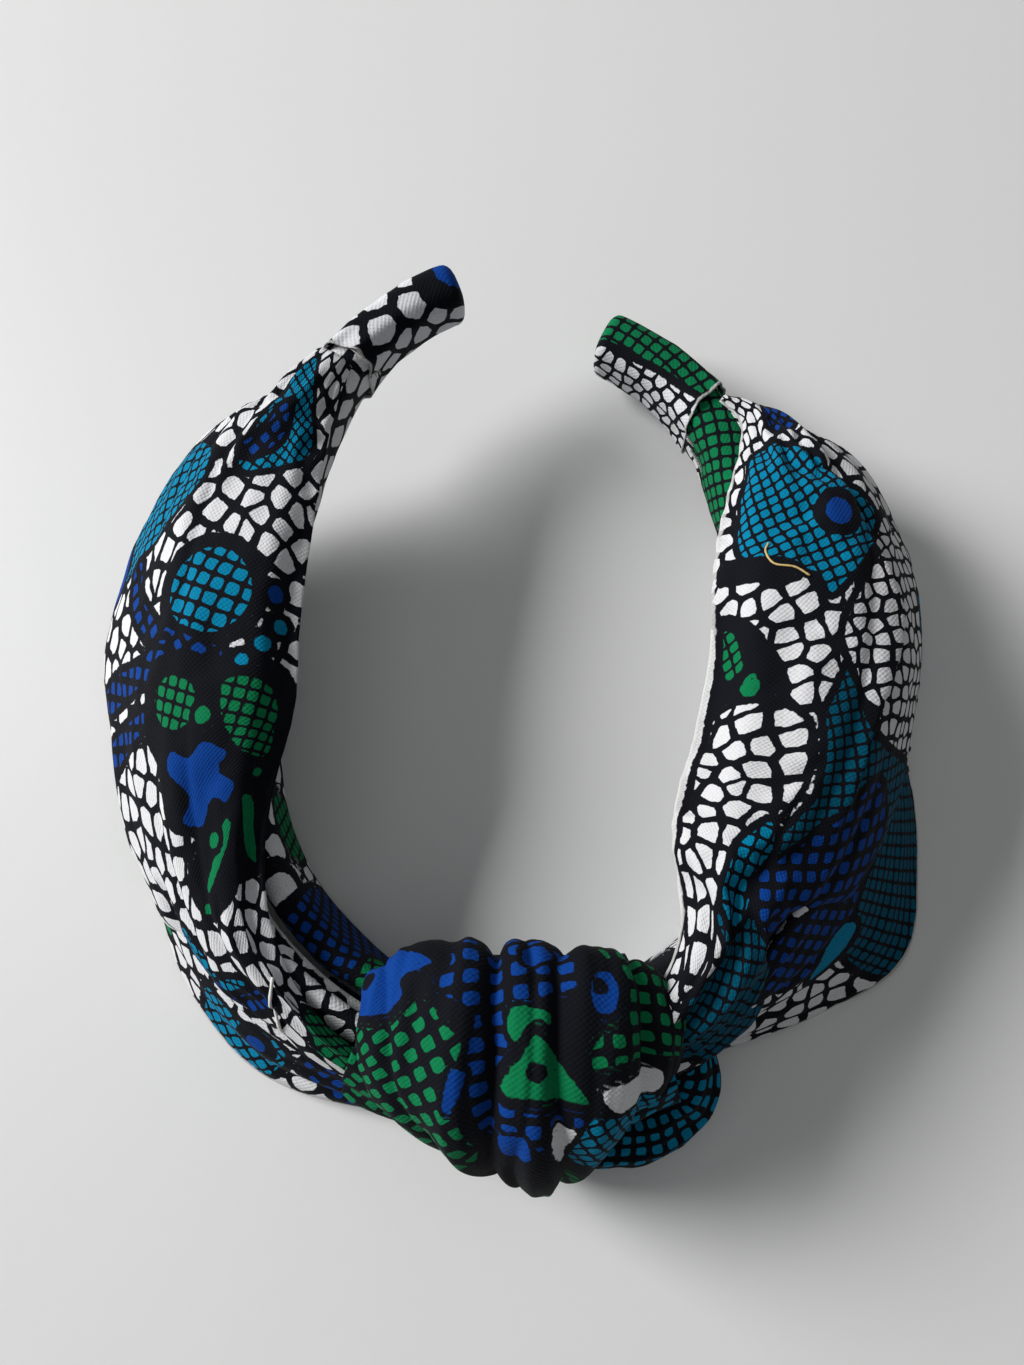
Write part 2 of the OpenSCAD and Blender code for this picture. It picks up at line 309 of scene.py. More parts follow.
def end_cloth(cloth, grid, ends):
    """Places on the cloth for rounded end rings, which narrow to a point."""
    full = np.linalg.norm(grid[-1] - grid[-1].mean(0), axis=-1).mean()
    rows = []
    for ring in ends:
        share = np.linalg.norm(ring - ring.mean(0), axis=-1).mean() / full
        rows.append(np.stack([cloth[-1, :, 0] + full * (1 - share), cloth[-1, :, 1] * share], -1))
    return np.concatenate([cloth, rows])


def tube(name, grid):
    """A tube of rings, closed flat at both ends."""
    nu, nv = grid.shape[:2]
    grid = np.concatenate([grid[..., :2], np.maximum(grid[..., 2:], FLOOR)], -1)
    faces = grid_faces(nu, nv, wrap_v=True)
    faces.append(tuple(range(nv)))
    faces.append(tuple(reversed(range((nu - 1) * nv, nu * nv))))
    return new_object(name, grid.reshape(-1, 3), faces)


def sweep(path, section):
    """Rings along a path; section(t) gives each ring's two offsets across it."""
    path = np.asarray(path, float)
    tangent = unit(np.gradient(path, axis=0))
    up = np.array([0.0, 0.0, 1.0])
    first = unit(np.cross(tangent, up))
    second = np.cross(first, tangent)
    t = np.linspace(0, 1, len(path))
    a, b = section(t)
    return path[:, None] + first[:, None] * a[..., None] + second[:, None] * b[..., None]


def smooth_path(points, count):
    """A smooth path of count points through a few chosen ones."""
    keys = np.arange(len(points))
    return spline(keys, np.array(points, float), np.linspace(0, keys[-1], count))


def thread(name, points, radius, fine=6):
    """A sewing thread along points, as a thin tube."""
    path = smooth_path(points, (len(points) - 1) * fine + 1)
    a = np.linspace(0, 2 * math.pi, 8, endpoint=False)

    def section(t):
        r = radius * (1 + 0.12 * np.sin(t * 60))[:, None]
        return r * np.cos(a)[None], r * np.sin(a)[None]

    return tube(name, sweep(path, section))


def join(name, parts):
    """One object from several."""
    bm = bmesh.new()
    for ob in parts:
        bm.from_mesh(ob.data)
        bpy.data.objects.remove(ob)
    return smooth_object(name, bpy.data.meshes.new(name), bm)


# ---------------------------------------------------------------- cloth relax
RELAX_SCALE = 10  # small pieces are simulated at ten times their size
RELAX_FRAMES = 16


def relax(grid, free, slack, cap, wrap=False, pressure=0.0, step=4):
    """How far a grid of cloth moves when it is given some slack and settles
    between its held points, up to cap mm. free says how free each point is, 0
    to 1. The cloth is simulated on every few points of the grid."""
    nu, nv = grid.shape[:2]
    iu = np.unique(np.append(np.arange(0, nu, step), nu - 1))
    iv = np.arange(0, nv, step) if wrap else np.unique(np.append(np.arange(0, nv, step), nv - 1))
    coarse = grid[np.ix_(iu, iv)]
    big = RELAX_SCALE * MM
    mesh = bpy.data.meshes.new("relax")
    mesh.from_pydata((coarse.reshape(-1, 3) * big).tolist(), [], grid_faces(len(iu), len(iv), wrap))
    ob = link("relax", mesh)
    scene = bpy.context.scene
    group = ob.vertex_groups.new(name="held")
    held = 1 - free[np.ix_(iu, iv)].ravel()
    for i, w in enumerate(held):
        if w > 0:
            group.add([i], float(w), "REPLACE")
    cloth = ob.modifiers.new("cloth", "CLOTH")
    s = cloth.settings
    s.quality = 6
    s.mass = 0.3
    s.tension_stiffness = s.compression_stiffness = 15
    s.shear_stiffness = 8
    s.bending_stiffness = 0.6
    s.vertex_group_mass = "held"
    s.pin_stiffness = 2.0
    s.shrink_min = -slack
    s.effector_weights.gravity = 0
    if pressure:
        s.use_pressure = True
        s.uniform_pressure_force = pressure
    cloth.point_cache.frame_start = 1
    cloth.point_cache.frame_end = RELAX_FRAMES
    for f in range(1, RELAX_FRAMES + 1):
        scene.frame_set(f)
    deps = bpy.context.evaluated_depsgraph_get()
    done = ob.evaluated_get(deps).to_mesh()
    pos = np.empty(len(mesh.vertices) * 3)
    done.vertices.foreach_get("co", pos)
    ob.evaluated_get(deps).to_mesh_clear()
    scene.frame_set(1)
    bpy.data.objects.remove(ob)
    move = pos.reshape(coarse.shape) / big - coarse
    size = np.linalg.norm(move, axis=-1, keepdims=True)
    move *= np.minimum(1, cap / np.maximum(size, 1e-6))
    move *= free[np.ix_(iu, iv)][..., None]
    # Read back onto the fine grid along both directions
    if wrap:
        move = np.concatenate([move, move[:, :1]], 1)
        iv = np.append(iv, nv)
    rows = spline(iu, move.reshape(len(iu), -1), np.arange(nu)).reshape(nu, len(iv), 3)
    cols = spline(iv, np.moveaxis(rows, 1, 0).reshape(len(iv), -1), np.arange(nv))
    return np.moveaxis(cols.reshape(nv, nu, 3), 0, 1)


# ---------------------------------------------------------------- the print
TEAL = (0.0, 0.20, 0.36)
# Teal darkened to about 0.4 of its brightness: painted shade on teal lattice of the right straps
SHADED_TEAL = (0.0, 0.082, 0.145)
ROYAL = (0.003, 0.045, 0.25)
GREEN = (0.003, 0.175, 0.062)
WHITE = (0.70, 0.70, 0.715)
BLACK = (0.0055, 0.006, 0.009)
LINE = 0.9  # half the width of the black line between motifs
FINE_OUTLINE = 16  # outlines with fewer points than this are rounded
SPARSE = 0.84  # size of a sparse lattice's squares against a full one's
YARN = 0.55  # width of one thread of the weave
YARN_HIGH = 0.00009  # how high the threads stand, in metres


def disc(u, v, r, squash=1.0):
    """Outline of a round at (u, v), squashed across the cloth."""
    a = np.linspace(0, 2 * math.pi, 20, endpoint=False)
    return [(u + r * math.cos(t), v + r * squash * math.sin(t)) for t in a]


def outline_distance(uv, points):
    """Distance inside (positive) or outside a smooth closed outline."""
    pts = np.asarray(points, float)
    if len(pts) < FINE_OUTLINE:
        ring = np.concatenate([pts[-2:], pts, pts[:3]])
        fine = spline(np.arange(len(ring)), ring, np.arange(2, len(pts) + 2, 0.2))
    else:
        fine = pts
    a, b = fine, np.roll(fine, -1, 0)
    best = np.full(len(uv), 1e9)
    inside = np.zeros(len(uv), bool)
    for (ax, ay), (bx, by) in zip(a, b):
        ex, ey = bx - ax, by - ay
        wx, wy = uv[:, 0] - ax, uv[:, 1] - ay
        t = np.clip((wx * ex + wy * ey) / max(ex * ex + ey * ey, 1e-9), 0, 1)
        best = np.minimum(best, (wx - ex * t) ** 2 + (wy - ey * t) ** 2)
        crosses = (ay > uv[:, 1]) != (by > uv[:, 1])
        if ey:
            inside ^= crosses & (uv[:, 0] < ex * (uv[:, 1] - ay) / ey + ax)
    return np.sqrt(best) * np.where(inside, 1, -1)


def paint(ob, uv, hem, motifs, cell, turn, worn=1.0, line=LINE):
    """Stores the print on each vertex: motifs lie over a ground of white cells,
    turned and of the given size. A motif is (kind, colour, outline, turn, pitch).
    Folded edges are rubbed where worn is 1."""
    uv = np.asarray(uv, float)
    c, s = math.cos(turn), math.sin(turn)
    pattern = np.stack([uv[:, 0] * c - uv[:, 1] * s, uv[:, 0] * s + uv[:, 1] * c], -1) / cell
    border = np.full(len(uv), 9.0)
    lattice, solid = np.zeros(len(uv)), np.zeros(len(uv))
    ink = np.tile(np.array(WHITE), (len(uv), 1))
    for kind, colour, outline, angle, pitch in motifs:
        d = outline_distance(uv, outline)
        inside = d > 0
        border = np.where(inside, d, np.minimum(border, -d))
        lattice[inside] = {"lattice": 1.0, "sparse": SPARSE}.get(kind, 0.0)
        solid[inside] = 1.0 if kind == "solid" else 0.0
        ink[inside] = colour
        middle = np.mean(np.asarray(outline, float), 0)
        c, s = math.cos(angle), math.sin(angle)
        u, v = (uv[inside] - middle).T
        pattern[inside] = np.stack([u * c - v * s, u * s + v * c], -1) / pitch
    set_attribute(ob, "cloth", uv, np.zeros(len(uv)))
    set_attribute(ob, "pattern", pattern, np.zeros(len(uv)))
    set_attribute(ob, "motif", border + LINE - line, lattice, solid)
    set_attribute(ob, "ink", ink, np.ones(len(uv)))
    set_attribute(ob, "hem", np.asarray(hem, float) + 1.2 * (1 - worn))


# ---------------------------------------------------------------- materials
class Shader:
    """Small helper that builds a node tree."""

    def __init__(self, name):
        self.mat = bpy.data.materials.new(name)
        self.mat.use_nodes = True
        self.tree = self.mat.node_tree
        self.bsdf = self.tree.nodes["Principled BSDF"]

    def node(self, kind, **settings):
        n = self.tree.nodes.new(kind)
        for key, value in settings.items():
            setattr(n, key, value)
        return n

    def put(self, socket, value):
        if isinstance(value, bpy.types.NodeSocket):
            self.tree.links.new(value, socket)
        elif isinstance(value, tuple) and len(value) == 3 and socket.type == "RGBA":
            socket.default_value = (*value, 1)
        else:
            socket.default_value = value

    def math(self, op, *args):
        n = self.node("ShaderNodeMath", operation=op)
        for socket, value in zip(n.inputs, args):
            self.put(socket, value)
        return n.outputs[0]

    def add(self, a, b):
        return self.math("ADD", a, b)

    def sub(self, a, b):
        return self.math("SUBTRACT", a, b)

    def times(self, a, b):
        return self.math("MULTIPLY", a, b)

    def step(self, low, high, value):
        n = self.node("ShaderNodeMapRange", interpolation_type="SMOOTHSTEP")
        self.put(n.inputs["Value"], value)
        n.inputs["From Min"].default_value = low
        n.inputs["From Max"].default_value = high
        return n.outputs[0]

    def mix(self, factor, a, b):
        n = self.node("ShaderNodeMix", data_type="RGBA")
        self.put(n.inputs["Factor"], factor)
        self.put(n.inputs["A"], a)
        self.put(n.inputs["B"], b)
        return n.outputs["Result"]

    def attribute(self, name):
        return self.node("ShaderNodeAttribute", attribute_name=name)

    def noise(self, vector, scale, detail=2.0, colour=False):
        n = self.node("ShaderNodeTexNoise")
        self.put(n.inputs["Vector"], vector)
        n.inputs["Scale"].default_value = scale
        n.inputs["Detail"].default_value = detail
        return n.outputs["Color" if colour else "Fac"]

    def vector(self, op, a, b):
        n = self.node("ShaderNodeVectorMath", operation=op)
        self.put(n.inputs[0], a)
        if op == "SCALE":
            self.put(n.inputs["Scale"], b)
        else:
            self.put(n.inputs[1], b)
        return n.outputs[0]

    def split(self, vector):
        n = self.node("ShaderNodeSeparateXYZ")
        self.put(n.inputs[0], vector)
        return n.outputs

    def bump(self, high, strength, height):
        """Raises the surface by up to height, in metres, without moving it."""
        n = self.node("ShaderNodeBump")
        n.inputs["Strength"].default_value = strength
        n.inputs["Distance"].default_value = height
        self.put(n.inputs["Height"], high)
        self.put(self.bsdf.inputs["Normal"], n.outputs[0])

    def voronoi(self, feature, pattern):
        """Cells one unit wide, a little uneven."""
        n = self.node("ShaderNodeTexVoronoi", feature=feature, voronoi_dimensions="2D")
        self.put(n.inputs["Vector"], pattern)
        n.inputs["Scale"].default_value = 1.0
        n.inputs["Randomness"].default_value = 0.62
        return n.outputs["Distance"]

    def weave(self, cloth):
        """Plain weave with uneven threads, as bump on the shader."""
        u, v, _ = self.split(cloth)
        over = self.math("SINE", self.times(u, math.pi / YARN))
        under = self.math("SINE", self.times(v, math.pi / YARN))
        checks = self.times(over, under)
        slub = self.noise(cloth, 1.6, 3.0)
        lint = self.noise(cloth, 5.0, 2.0)
        high = self.add(self.times(checks, 0.5), slub)
        high = self.add(high, self.times(lint, 0.6))
        self.bump(high, 0.9, YARN_HIGH)
        return checks, slub


def printed_cotton(name, ink_shift=(1.0, 1.0, 1.0)):
    """Wax-printed plain weave cotton: cells, lattices and solid shapes."""
    s = Shader(name)
    cloth = s.attribute("cloth").outputs["Vector"]
    checks, slub = s.weave(cloth)
    wobble = s.vector("SUBTRACT", s.noise(cloth, 0.45, 2.0, colour=True), (0.5, 0.5, 0.5))
    pattern = s.vector("ADD", s.attribute("pattern").outputs["Vector"], s.vector("SCALE", wobble, 0.16))
    border, lattice, solid = s.split(s.attribute("motif").outputs["Vector"])
    ink = s.attribute("ink").outputs["Color"]

    # White cells between black lines
    edge = s.sub(s.voronoi("DISTANCE_TO_EDGE", pattern), s.times(s.noise(cloth, 1.1), 0.05))
    corner = s.math("MAXIMUM", s.sub(s.voronoi("F1", pattern), 0.32), 0.0)
    cell = s.step(0.058, 0.088, s.sub(edge, s.times(corner, 0.42)))

    # Lattice of small rounded squares
    px, py, _ = s.split(pattern)
    fx = s.math("ABSOLUTE", s.sub(s.math("FRACT", px), 0.5))
    fy = s.math("ABSOLUTE", s.sub(s.math("FRACT", py), 0.5))
    square = s.math("POWER", s.add(s.math("POWER", fx, 4.0), s.math("POWER", fy, 4.0)), 0.25)
    square = s.add(square, s.times(s.noise(cloth, 0.9), 0.1))
    square = s.math("DIVIDE", square, s.math("MAXIMUM", lattice, SPARSE))
    grid = s.sub(1.0, s.step(0.41, 0.445, square))

    # Solid shapes have a few specks of wax crackle
    fleck = s.step(0.27, 0.31, s.noise(cloth, 1.2, 3.0))
    colour = s.mix(cell, BLACK, WHITE)
    colour = s.mix(s.step(0.3, 0.4, lattice), colour, s.mix(grid, BLACK, ink))
    colour = s.mix(s.step(0.45, 0.55, solid), colour, s.mix(fleck, BLACK, ink))
    near = s.add(border, s.times(s.sub(s.noise(cloth, 0.7), 0.5), 0.9))
    colour = s.mix(s.step(LINE - 0.1, LINE + 0.1, near), BLACK, colour)

    # Folded edges are rubbed pale, and the dye is uneven along the threads
    worn = s.times(s.noise(cloth, 0.35), 1.3)
    rubbed = s.sub(s.attribute("hem").outputs["Fac"], worn)
    rubbed = s.sub(1.0, s.step(-0.25, 0.15, rubbed))
    colour = s.mix(s.times(rubbed, 0.75), colour, (0.62, 0.61, 0.60))
    shade = s.add(0.80, s.times(slub, 0.30))
    shade = s.add(shade, s.times(checks, 0.05))
    tint = s.node("ShaderNodeCombineColor")
    for socket, gain in zip(tint.inputs, ink_shift):
        s.put(socket, s.times(shade, gain))
    out = s.node("ShaderNodeMix", data_type="RGBA", blend_type="MULTIPLY")
    out.inputs["Factor"].default_value = 1.0
    s.put(out.inputs["A"], colour)
    s.put(out.inputs["B"], tint.outputs[0])
    s.put(s.bsdf.inputs["Base Color"], out.outputs["Result"])
    rough = s.add(0.74, s.times(slub, 0.2))
    s.put(s.bsdf.inputs["Roughness"], rough)
    s.bsdf.inputs["Sheen Weight"].default_value = 0.015
    s.bsdf.inputs["Sheen Roughness"].default_value = 0.45
    s.bsdf.inputs["Specular IOR Level"].default_value = 0.07
    return s.mat


def mottled(name, colour, dark, scale, rough, bump_scale, height):
    """A finish with soft mottling and a fine uneven surface."""
    s = Shader(name)
    where = s.node("ShaderNodeTexCoord").outputs["Object"]
    s.put(s.bsdf.inputs["Base Color"], s.mix(s.noise(where, scale, 4.0), dark, colour))
    fine = s.noise(where, bump_scale, 4.0)
    s.bump(fine, 0.6, height)
    s.put(s.bsdf.inputs["Roughness"], s.add(rough, s.times(fine, 0.15)))
    return s.mat


COTTON = printed_cotton("printed_cotton_weave")
COVER_COTTON = printed_cotton("end_cover_weave", (0.97, 0.98, 1.0))
PLASTIC = mottled("moulded_band", (0.80, 0.80, 0.78), (0.74, 0.74, 0.71), 60, 0.38, 900, 0.00003)
WADDING = mottled("polyester_wadding", (0.88, 0.87, 0.83), (0.74, 0.73, 0.69), 300, 0.85, 1500, 0.0004)
WHITE_THREAD = mottled("white_thread", (0.80, 0.79, 0.76), (0.60, 0.59, 0.56), 900, 0.7, 2600, 0.00006)
GOLD, GOLD_DARK = (0.70, 0.52, 0.22), (0.50, 0.34, 0.12)
YELLOW_THREAD = mottled("yellow_thread", GOLD, GOLD_DARK, 900, 0.7, 2600, 0.00006)


def dress(ob, material):
    ob.data.materials.clear()
    ob.data.materials.append(material)


def bend(ob):
    """Bakes a piece's placement into its mesh."""
    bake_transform(ob)


# ---------------------------------------------------------------- band
PLUMP = {"left": 2.0, "right": 4.2}  # how much fuller the outer face is at each tip
PLUMP_S = (60, 175)  # where it starts and ends to get fuller
SQUARE_N, SQUARE_Z = 2.5, 3.7  # how square the band's section is, across and in height
MOUTH_S = STRAP_END - 2.5  # each cover's mouth swallows the gathered end
COVER_OVER = 0.55  # how far a cover lies outside the sleeve
COVER_RISE = 0.6  # how far it stands above and below it
# Slant of each cover's mouth, and the directions of its tongue and of its seam
COVER_SLANT = {"left": 3.0, "right": 2.2}
COVER_TURN = {"left": 2.2, "right": 0.6}
SEAM_TURN = 3.9
HEM_DEEP = 14  # rings of a cover's hem that are folded inside
TURNS, TURN_PITCH, TURN_R = 7, 0.42, 0.22  # of the thread that gathers a strap


def band_section(inner, outer, high, count):
    """Rounded cross-sections of the band: n outwards and z from its middle."""
    a = np.linspace(0, 2 * math.pi, count, endpoint=False)
    c, w = np.cos(a)[None], np.sin(a)[None]
    middle = ((outer - inner) / 2)[:, None]
    half = ((outer + inner) / 2)[:, None]
    n = middle + half * np.sign(c) * np.abs(c) ** (2 / SQUARE_N)
    z = high[:, None] * np.sign(w) * np.abs(w) ** (2 / SQUARE_Z)
    return n, z


def band_tube(side, half, inset, s0, s1, steps, count, plump=0.0):
    """Rings of a stretch of band, shrunk in height by inset. A plump band is
    fuller on its outer face towards the tip. Also gives the ring's cloth."""
    s = np.linspace(s0, s1, steps)
    y = route(s)[0][:, 1]
    fuller = plump * ease(*PLUMP_S, s)
    n, z = band_section(half + 0 * s, half + fuller, half_height(y) - inset, count)
    S = np.repeat(s[:, None], count, 1)
    grid = place(side, S, n, MID_Z + z)
    # Length round each ring, from its top edge, positive on the head side
    top = count // 4
    rolled = np.roll(grid, -top, 1)
    step = np.linalg.norm(np.diff(rolled, axis=1, append=rolled[:, :1]), axis=-1)
    around = np.concatenate([np.zeros((steps, 1)), np.cumsum(step, 1)[:, :-1]], 1)
    total = step.sum(1, keepdims=True)
    around = np.where(around > total / 2, around - total, around)
    around = np.roll(around, top, 1)
    return grid, np.stack([S, around], -1)


def swell_tube(grid, amount, seed, free):
    """Pushes a padded tube out and in, with soft puckers across it."""
    centre = grid.mean(1, keepdims=True)
    out = unit(grid - centre)
    broad = soft_noise(grid, 9.0, seed)
    fine = soft_noise(grid * np.array([1.0, 1.0, 0.35]), 3.4, seed + 4)
    return grid + out * (amount * (0.75 * broad + 0.4 * fine) * free)[..., None]


def make_band(side):
    """Core, wadding and sleeve of one arm, each running into the crown."""
    own = side == "left"
    for name, half, inset, end, slot, mat in (
        ("core", CORE_HALF, 2.6, ARM_END, "core_plastic", PLASTIC),
        ("padding", PAD_HALF, 0.9, ARM_END + 2.0, "wadding", WADDING),
    ):
        grid, _ = band_tube(side, half - 0.1, inset, 0.2, end, 90, 28)
        if name == "padding":
            grid = swell_tube(grid, 0.15, 2.0, np.ones(grid.shape[:2]))
        ob = tube(f"{name}_{side}", grid)
        dress(ob, mat)
        bend(ob)
        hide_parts(f"{name}_{side}_arm", *([f"{name}_crown"] if own else []))

    grid, cloth = band_tube(side, SLEEVE_HALF, 0.0, 0.0, ARM_END + 1.0, 190, 56, plump=PLUMP[side])
    free = ease(0, 12, cloth[..., 0]) * (1 - ease(STRAP_END - 8, STRAP_END, cloth[..., 0]))
    grid = swell_tube(grid, 0.45, 3.1 if own else 8.7, free)
    # The cloth may only settle outwards, off the wadding
    move = relax(grid, free, slack=0.03, cap=0.9, wrap=True, pressure=0.5, step=3)
    out = unit(grid - grid.mean(1, keepdims=True))
    grid = grid + out * np.maximum(0, (move * out).sum(-1, keepdims=True))
    ends = end_rings(grid, 1.6)
    cloth = end_cloth(cloth, grid, ends)
    ob = tube(f"sleeve_{side}", np.concatenate([grid, ends]))
    uv = cloth.reshape(-1, 2)
    paint(ob, uv, np.full(len(uv), 9.0), SLEEVE_MOTIFS[side], **SLEEVE_GROUND[side])
    dress(ob, COTTON)
    bend(ob)
    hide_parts(f"sleeve_{side}_arm", *(["sleeve_crown"] if own else []))


def make_end_cover(side):
    """Folded pocket of cloth over a tip, its mouth over the gathered strap."""
    steps, count = 70, 72
    half, end = SLEEVE_HALF + COVER_OVER, ARM_END + 1.4
    grid, cloth = band_tube(side, half, -COVER_RISE, MOUTH_S, end, steps, count, PLUMP[side])
    a = np.linspace(0, 2 * math.pi, count, endpoint=False)[None]
    # The mouth is cut on a slant and flares over the strap's gathers
    slant = COVER_SLANT[side] * np.cos(a - COVER_TURN[side])
    share = 1 - np.linspace(0, 1, steps)[:, None]
    along_arm = unit(np.gradient(grid.mean(1), axis=0))[:, None]
    grid = grid + along_arm * (slant * share**2)[..., None]
    cloth = cloth + np.stack([slant * share**2, 0 * slant * share], -1)
    out = unit(grid - grid.mean(1, keepdims=True))
    past = (1 - share) * (ARM_END - MOUTH_S)
    flare = 1.5 * np.exp(-past / 6.0) * (0.6 + 0.4 * np.cos(a))
    pucker = 0.5 * np.sin(a * 7 + 1.3) * np.exp(-past / 7.0)
    grid = grid + out * (flare + pucker)[..., None]
    grid = swell_tube(grid, 0.5, 12.0 if side == "left" else 15.5, np.ones(grid.shape[:2]))
    # A sewn seam runs along the inner face
    seam = crease((a - SEAM_TURN) * 4.0, 0.5) * np.ones_like(share)
    grid = grid + out * (0.35 * seam)[..., None]
    ends = end_rings(grid, 2.4, shrink=0.55)
    inside = grid[:HEM_DEEP][::-1]
    inner = inside - unit(inside - inside.mean(1, keepdims=True)) * 0.5
    rings = np.concatenate([inner[:-1], (inner[-1:] + inside[-1:]) / 2, grid, ends])
    uv = np.concatenate([cloth[:HEM_DEEP][::-1], end_cloth(cloth, grid, ends)])
    ob = tube(f"end_cover_{side}_cloth", rings)
    hem = np.concatenate([
        np.linspace(6, 0, HEM_DEEP)[:, None] * np.ones_like(a),
        past * np.ones_like(a),
        np.full((len(ends), count), 20.0),
    ])
    paint(ob, uv.reshape(-1, 2), hem.ravel(), COVER_MOTIFS[side], **COVER_GROUND[side])
    dress(ob, COVER_COTTON)
    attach(ob, BODY[side])
    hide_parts(f"end_cover_{side}")


def make_lashing(side):
    """Turns of thread that gather the strap's end onto the sleeve."""
    parts = []
    rng = np.random.default_rng(5)
    for k in range(TURNS):
        s = STRAP_END + 0.3 + k * TURN_PITCH + rng.uniform(-0.05, 0.05)
        half = np.array([SLEEVE_HALF + 0.2])
        y = route(np.array([s]))[0][:, 1]
        n, z = band_section(half, half + PLUMP[side] * ease(*PLUMP_S, s), half_height(y) + 0.2, 40)
        tilt = rng.uniform(-0.4, 0.4)
        loop = place(side, s + tilt * z[0] / 8, n[0], MID_Z + z[0])
        parts.append(thread("turn", np.concatenate([loop, loop[:1]]), TURN_R, fine=2))
    ob = join(f"gather_lashing_{side}_thread", parts)
    dress(ob, WHITE_THREAD)
    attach(ob, BODY[side])
    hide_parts(f"gather_lashing_{side}")


# ---------------------------------------------------------------- straps
STRAP_STEPS = (210, 100)  # points along a strap and across it
# Cross-sections of each strap layer, from the knot to the gathers. Each row:
# length along the band, then (outwards, height) of the head-side edge, the
# ridge, the shoulder, the flank and the outer hem.
UPPER = {
    "left": [
        (12, (11, 27), (12.5, 28.5), (15, 24), (17, 16), (18.5, 10)),
        (24, (11.5, 30), (13.5, 32.5), (16.5, 27), (18.5, 17), (19.5, 11)),
        (36, (9, 32), (11.5, 35.5), (16, 30), (19, 20), (20.5, 12)),
        (50, (3.7, 34), (7.5, 38.5), (14.5, 33), (21, 20), (24.2, 10)),
        (68, (-5, 37), (0, 42), (12, 36), (24, 20), (28.5, 9)),
        (86, (-11, 39), (-4.5, 45), (12, 39), (27, 22), (34, 7)),
        (105, (-10.4, 39.5), (-4, 45.5), (13.5, 40), (31, 23), (38.4, 7.5)),
        (125, (-8.9, 40), (-3, 45.5), (12.5, 41.5), (28, 27), (34, 11)),
        (143, (-6.5, 41), (-1, 45.5), (9.5, 42.5), (20, 32), (24.5, 20)),
        (155, (-5, 41), (-1, 44.5), (6.0, 42.5), (11, 34), (11.8, 26)),
        (165, (-3.4, 40.5), (-1, 42.6), (4.4, 40.8), (6.2, 34.5), (5.4, 28)),
    ],
    "right": [
        (12, (-1, 36), (3, 38.5), (8, 34), (10, 27), (12, 21)),
        (24, (0, 37), (4, 41), (9, 36), (12.5, 28), (15.5, 20)),
        (36, (-6, 37), (-1, 43), (8, 38), (13.5, 28), (16.5, 18)),
        (50, (-18, 36), (-10, 44), (5, 39), (12, 28), (16, 15.5)),
        (68, (-22.5, 36), (-13, 44.5), (6, 39.5), (16, 27), (21.5, 12.5)),
        (86, (-21, 35), (-12, 44.5), (9, 40.5), (21, 25), (28.5, 9.5)),
        (105, (-17, 34), (-9.5, 43.5), (11, 40), (27, 24), (33.5, 7)),
        (125, (-13, 32.5), (-6, 41), (13, 38), (29.5, 23), (36, 7.5)),
        (145, (-4, 28), (1, 35.5), (13, 34), (24.5, 22.5), (29, 10)),
        (154, (2, 24.5), (5, 30), (12.5, 29), (19.5, 20), (21, 10.5)),
        (161, (5.5, 22), (7.5, 25.5), (11.0, 24.5), (14, 17), (13, 8)),
        (167, (4.6, 20.5), (5.6, 22), (7.2, 20.2), (7.8, 13), (6.5, 6.5)),
    ],
}
# The lower layer starts outside the band and shows beyond the upper hem.
LOWER = {
    "left": [
        (12, (5, 22), (8, 25), (13, 19), (17.5, 11), (20.5, 5)),
        (24, (4.6, 25), (8, 29), (15, 21), (22.5, 10), (26.3, 4)),
        (36, (4.6, 26), (8, 31), (17, 22.5), (26, 10), (31.2, 3)),
        (50, (4.6, 28), (8, 33), (17, 25), (26.5, 11), (31.7, 2.4)),
        (68, (4.6, 31), (8, 35.5), (17, 28), (25.5, 14), (29.5, 3)),
        (86, (4.6, 34), (8, 38), (16, 32), (26, 18), (31.5, 5.5)),
        (105, (4.6, 35), (8.5, 39.5), (16.5, 34), (28.5, 19), (35, 7)),
        (125, (4.6, 37), (8, 40.5), (15, 36), (25.5, 23), (30.5, 11)),
        (143, (4.6, 38.5), (6.5, 41), (10.5, 39), (16.5, 30), (20.5, 20)),
        (155, (4.4, 39.5), (5, 41), (7, 39.5), (9, 33), (9.8, 26)),
        (164, (3.8, 38.5), (4, 39.5), (4.4, 38.3), (5.0, 33.5), (4.6, 29)),
    ],
    "right": [
        (12, (4.8, 26), (6, 28), (8, 22), (10.5, 13), (12, 6)),
        (24, (4.8, 27), (7, 31), (10.5, 24), (14, 12), (16.5, 5)),
        (36, (4.8, 28), (7, 33), (12, 26), (17, 12), (20.5, 4)),
        (50, (4.8, 29), (7, 34.5), (12.5, 28), (22.5, 12), (30, 2.5)),
        (61, (4.8, 29.5), (7, 35), (13, 29), (27, 12.5), (38.5, 2.2)),
        (74, (4.8, 30), (7.5, 36), (14, 30), (27.5, 13), (36, 2.4)),
        (88, (4.8, 31), (8, 37.5), (16, 32), (26, 16), (32.5, 3.5)),
        (105, (4.8, 31), (8, 38), (16.5, 33), (25.5, 18), (31, 4.5)),
        (125, (4.8, 29), (8, 36), (16, 32.5), (26.5, 18), (32, 6)),
        (145, (4.8, 24), (7, 31), (13, 29.5), (21, 19), (25.5, 8.5)),
        (157, (6, 20.5), (7.5, 24.5), (10, 23), (13, 16), (14, 8)),
        (166, (4.6, 19), (5.2, 20), (6.0, 18.2), (6.8, 12), (5.8, 7)),
    ],
}
STRAP_WIDTH = {"upper": 76.0, "lower": 48.0}  # flat, from folded edge to folded edge
PLY = 0.9  # thickness of a strap's two plies, pressed

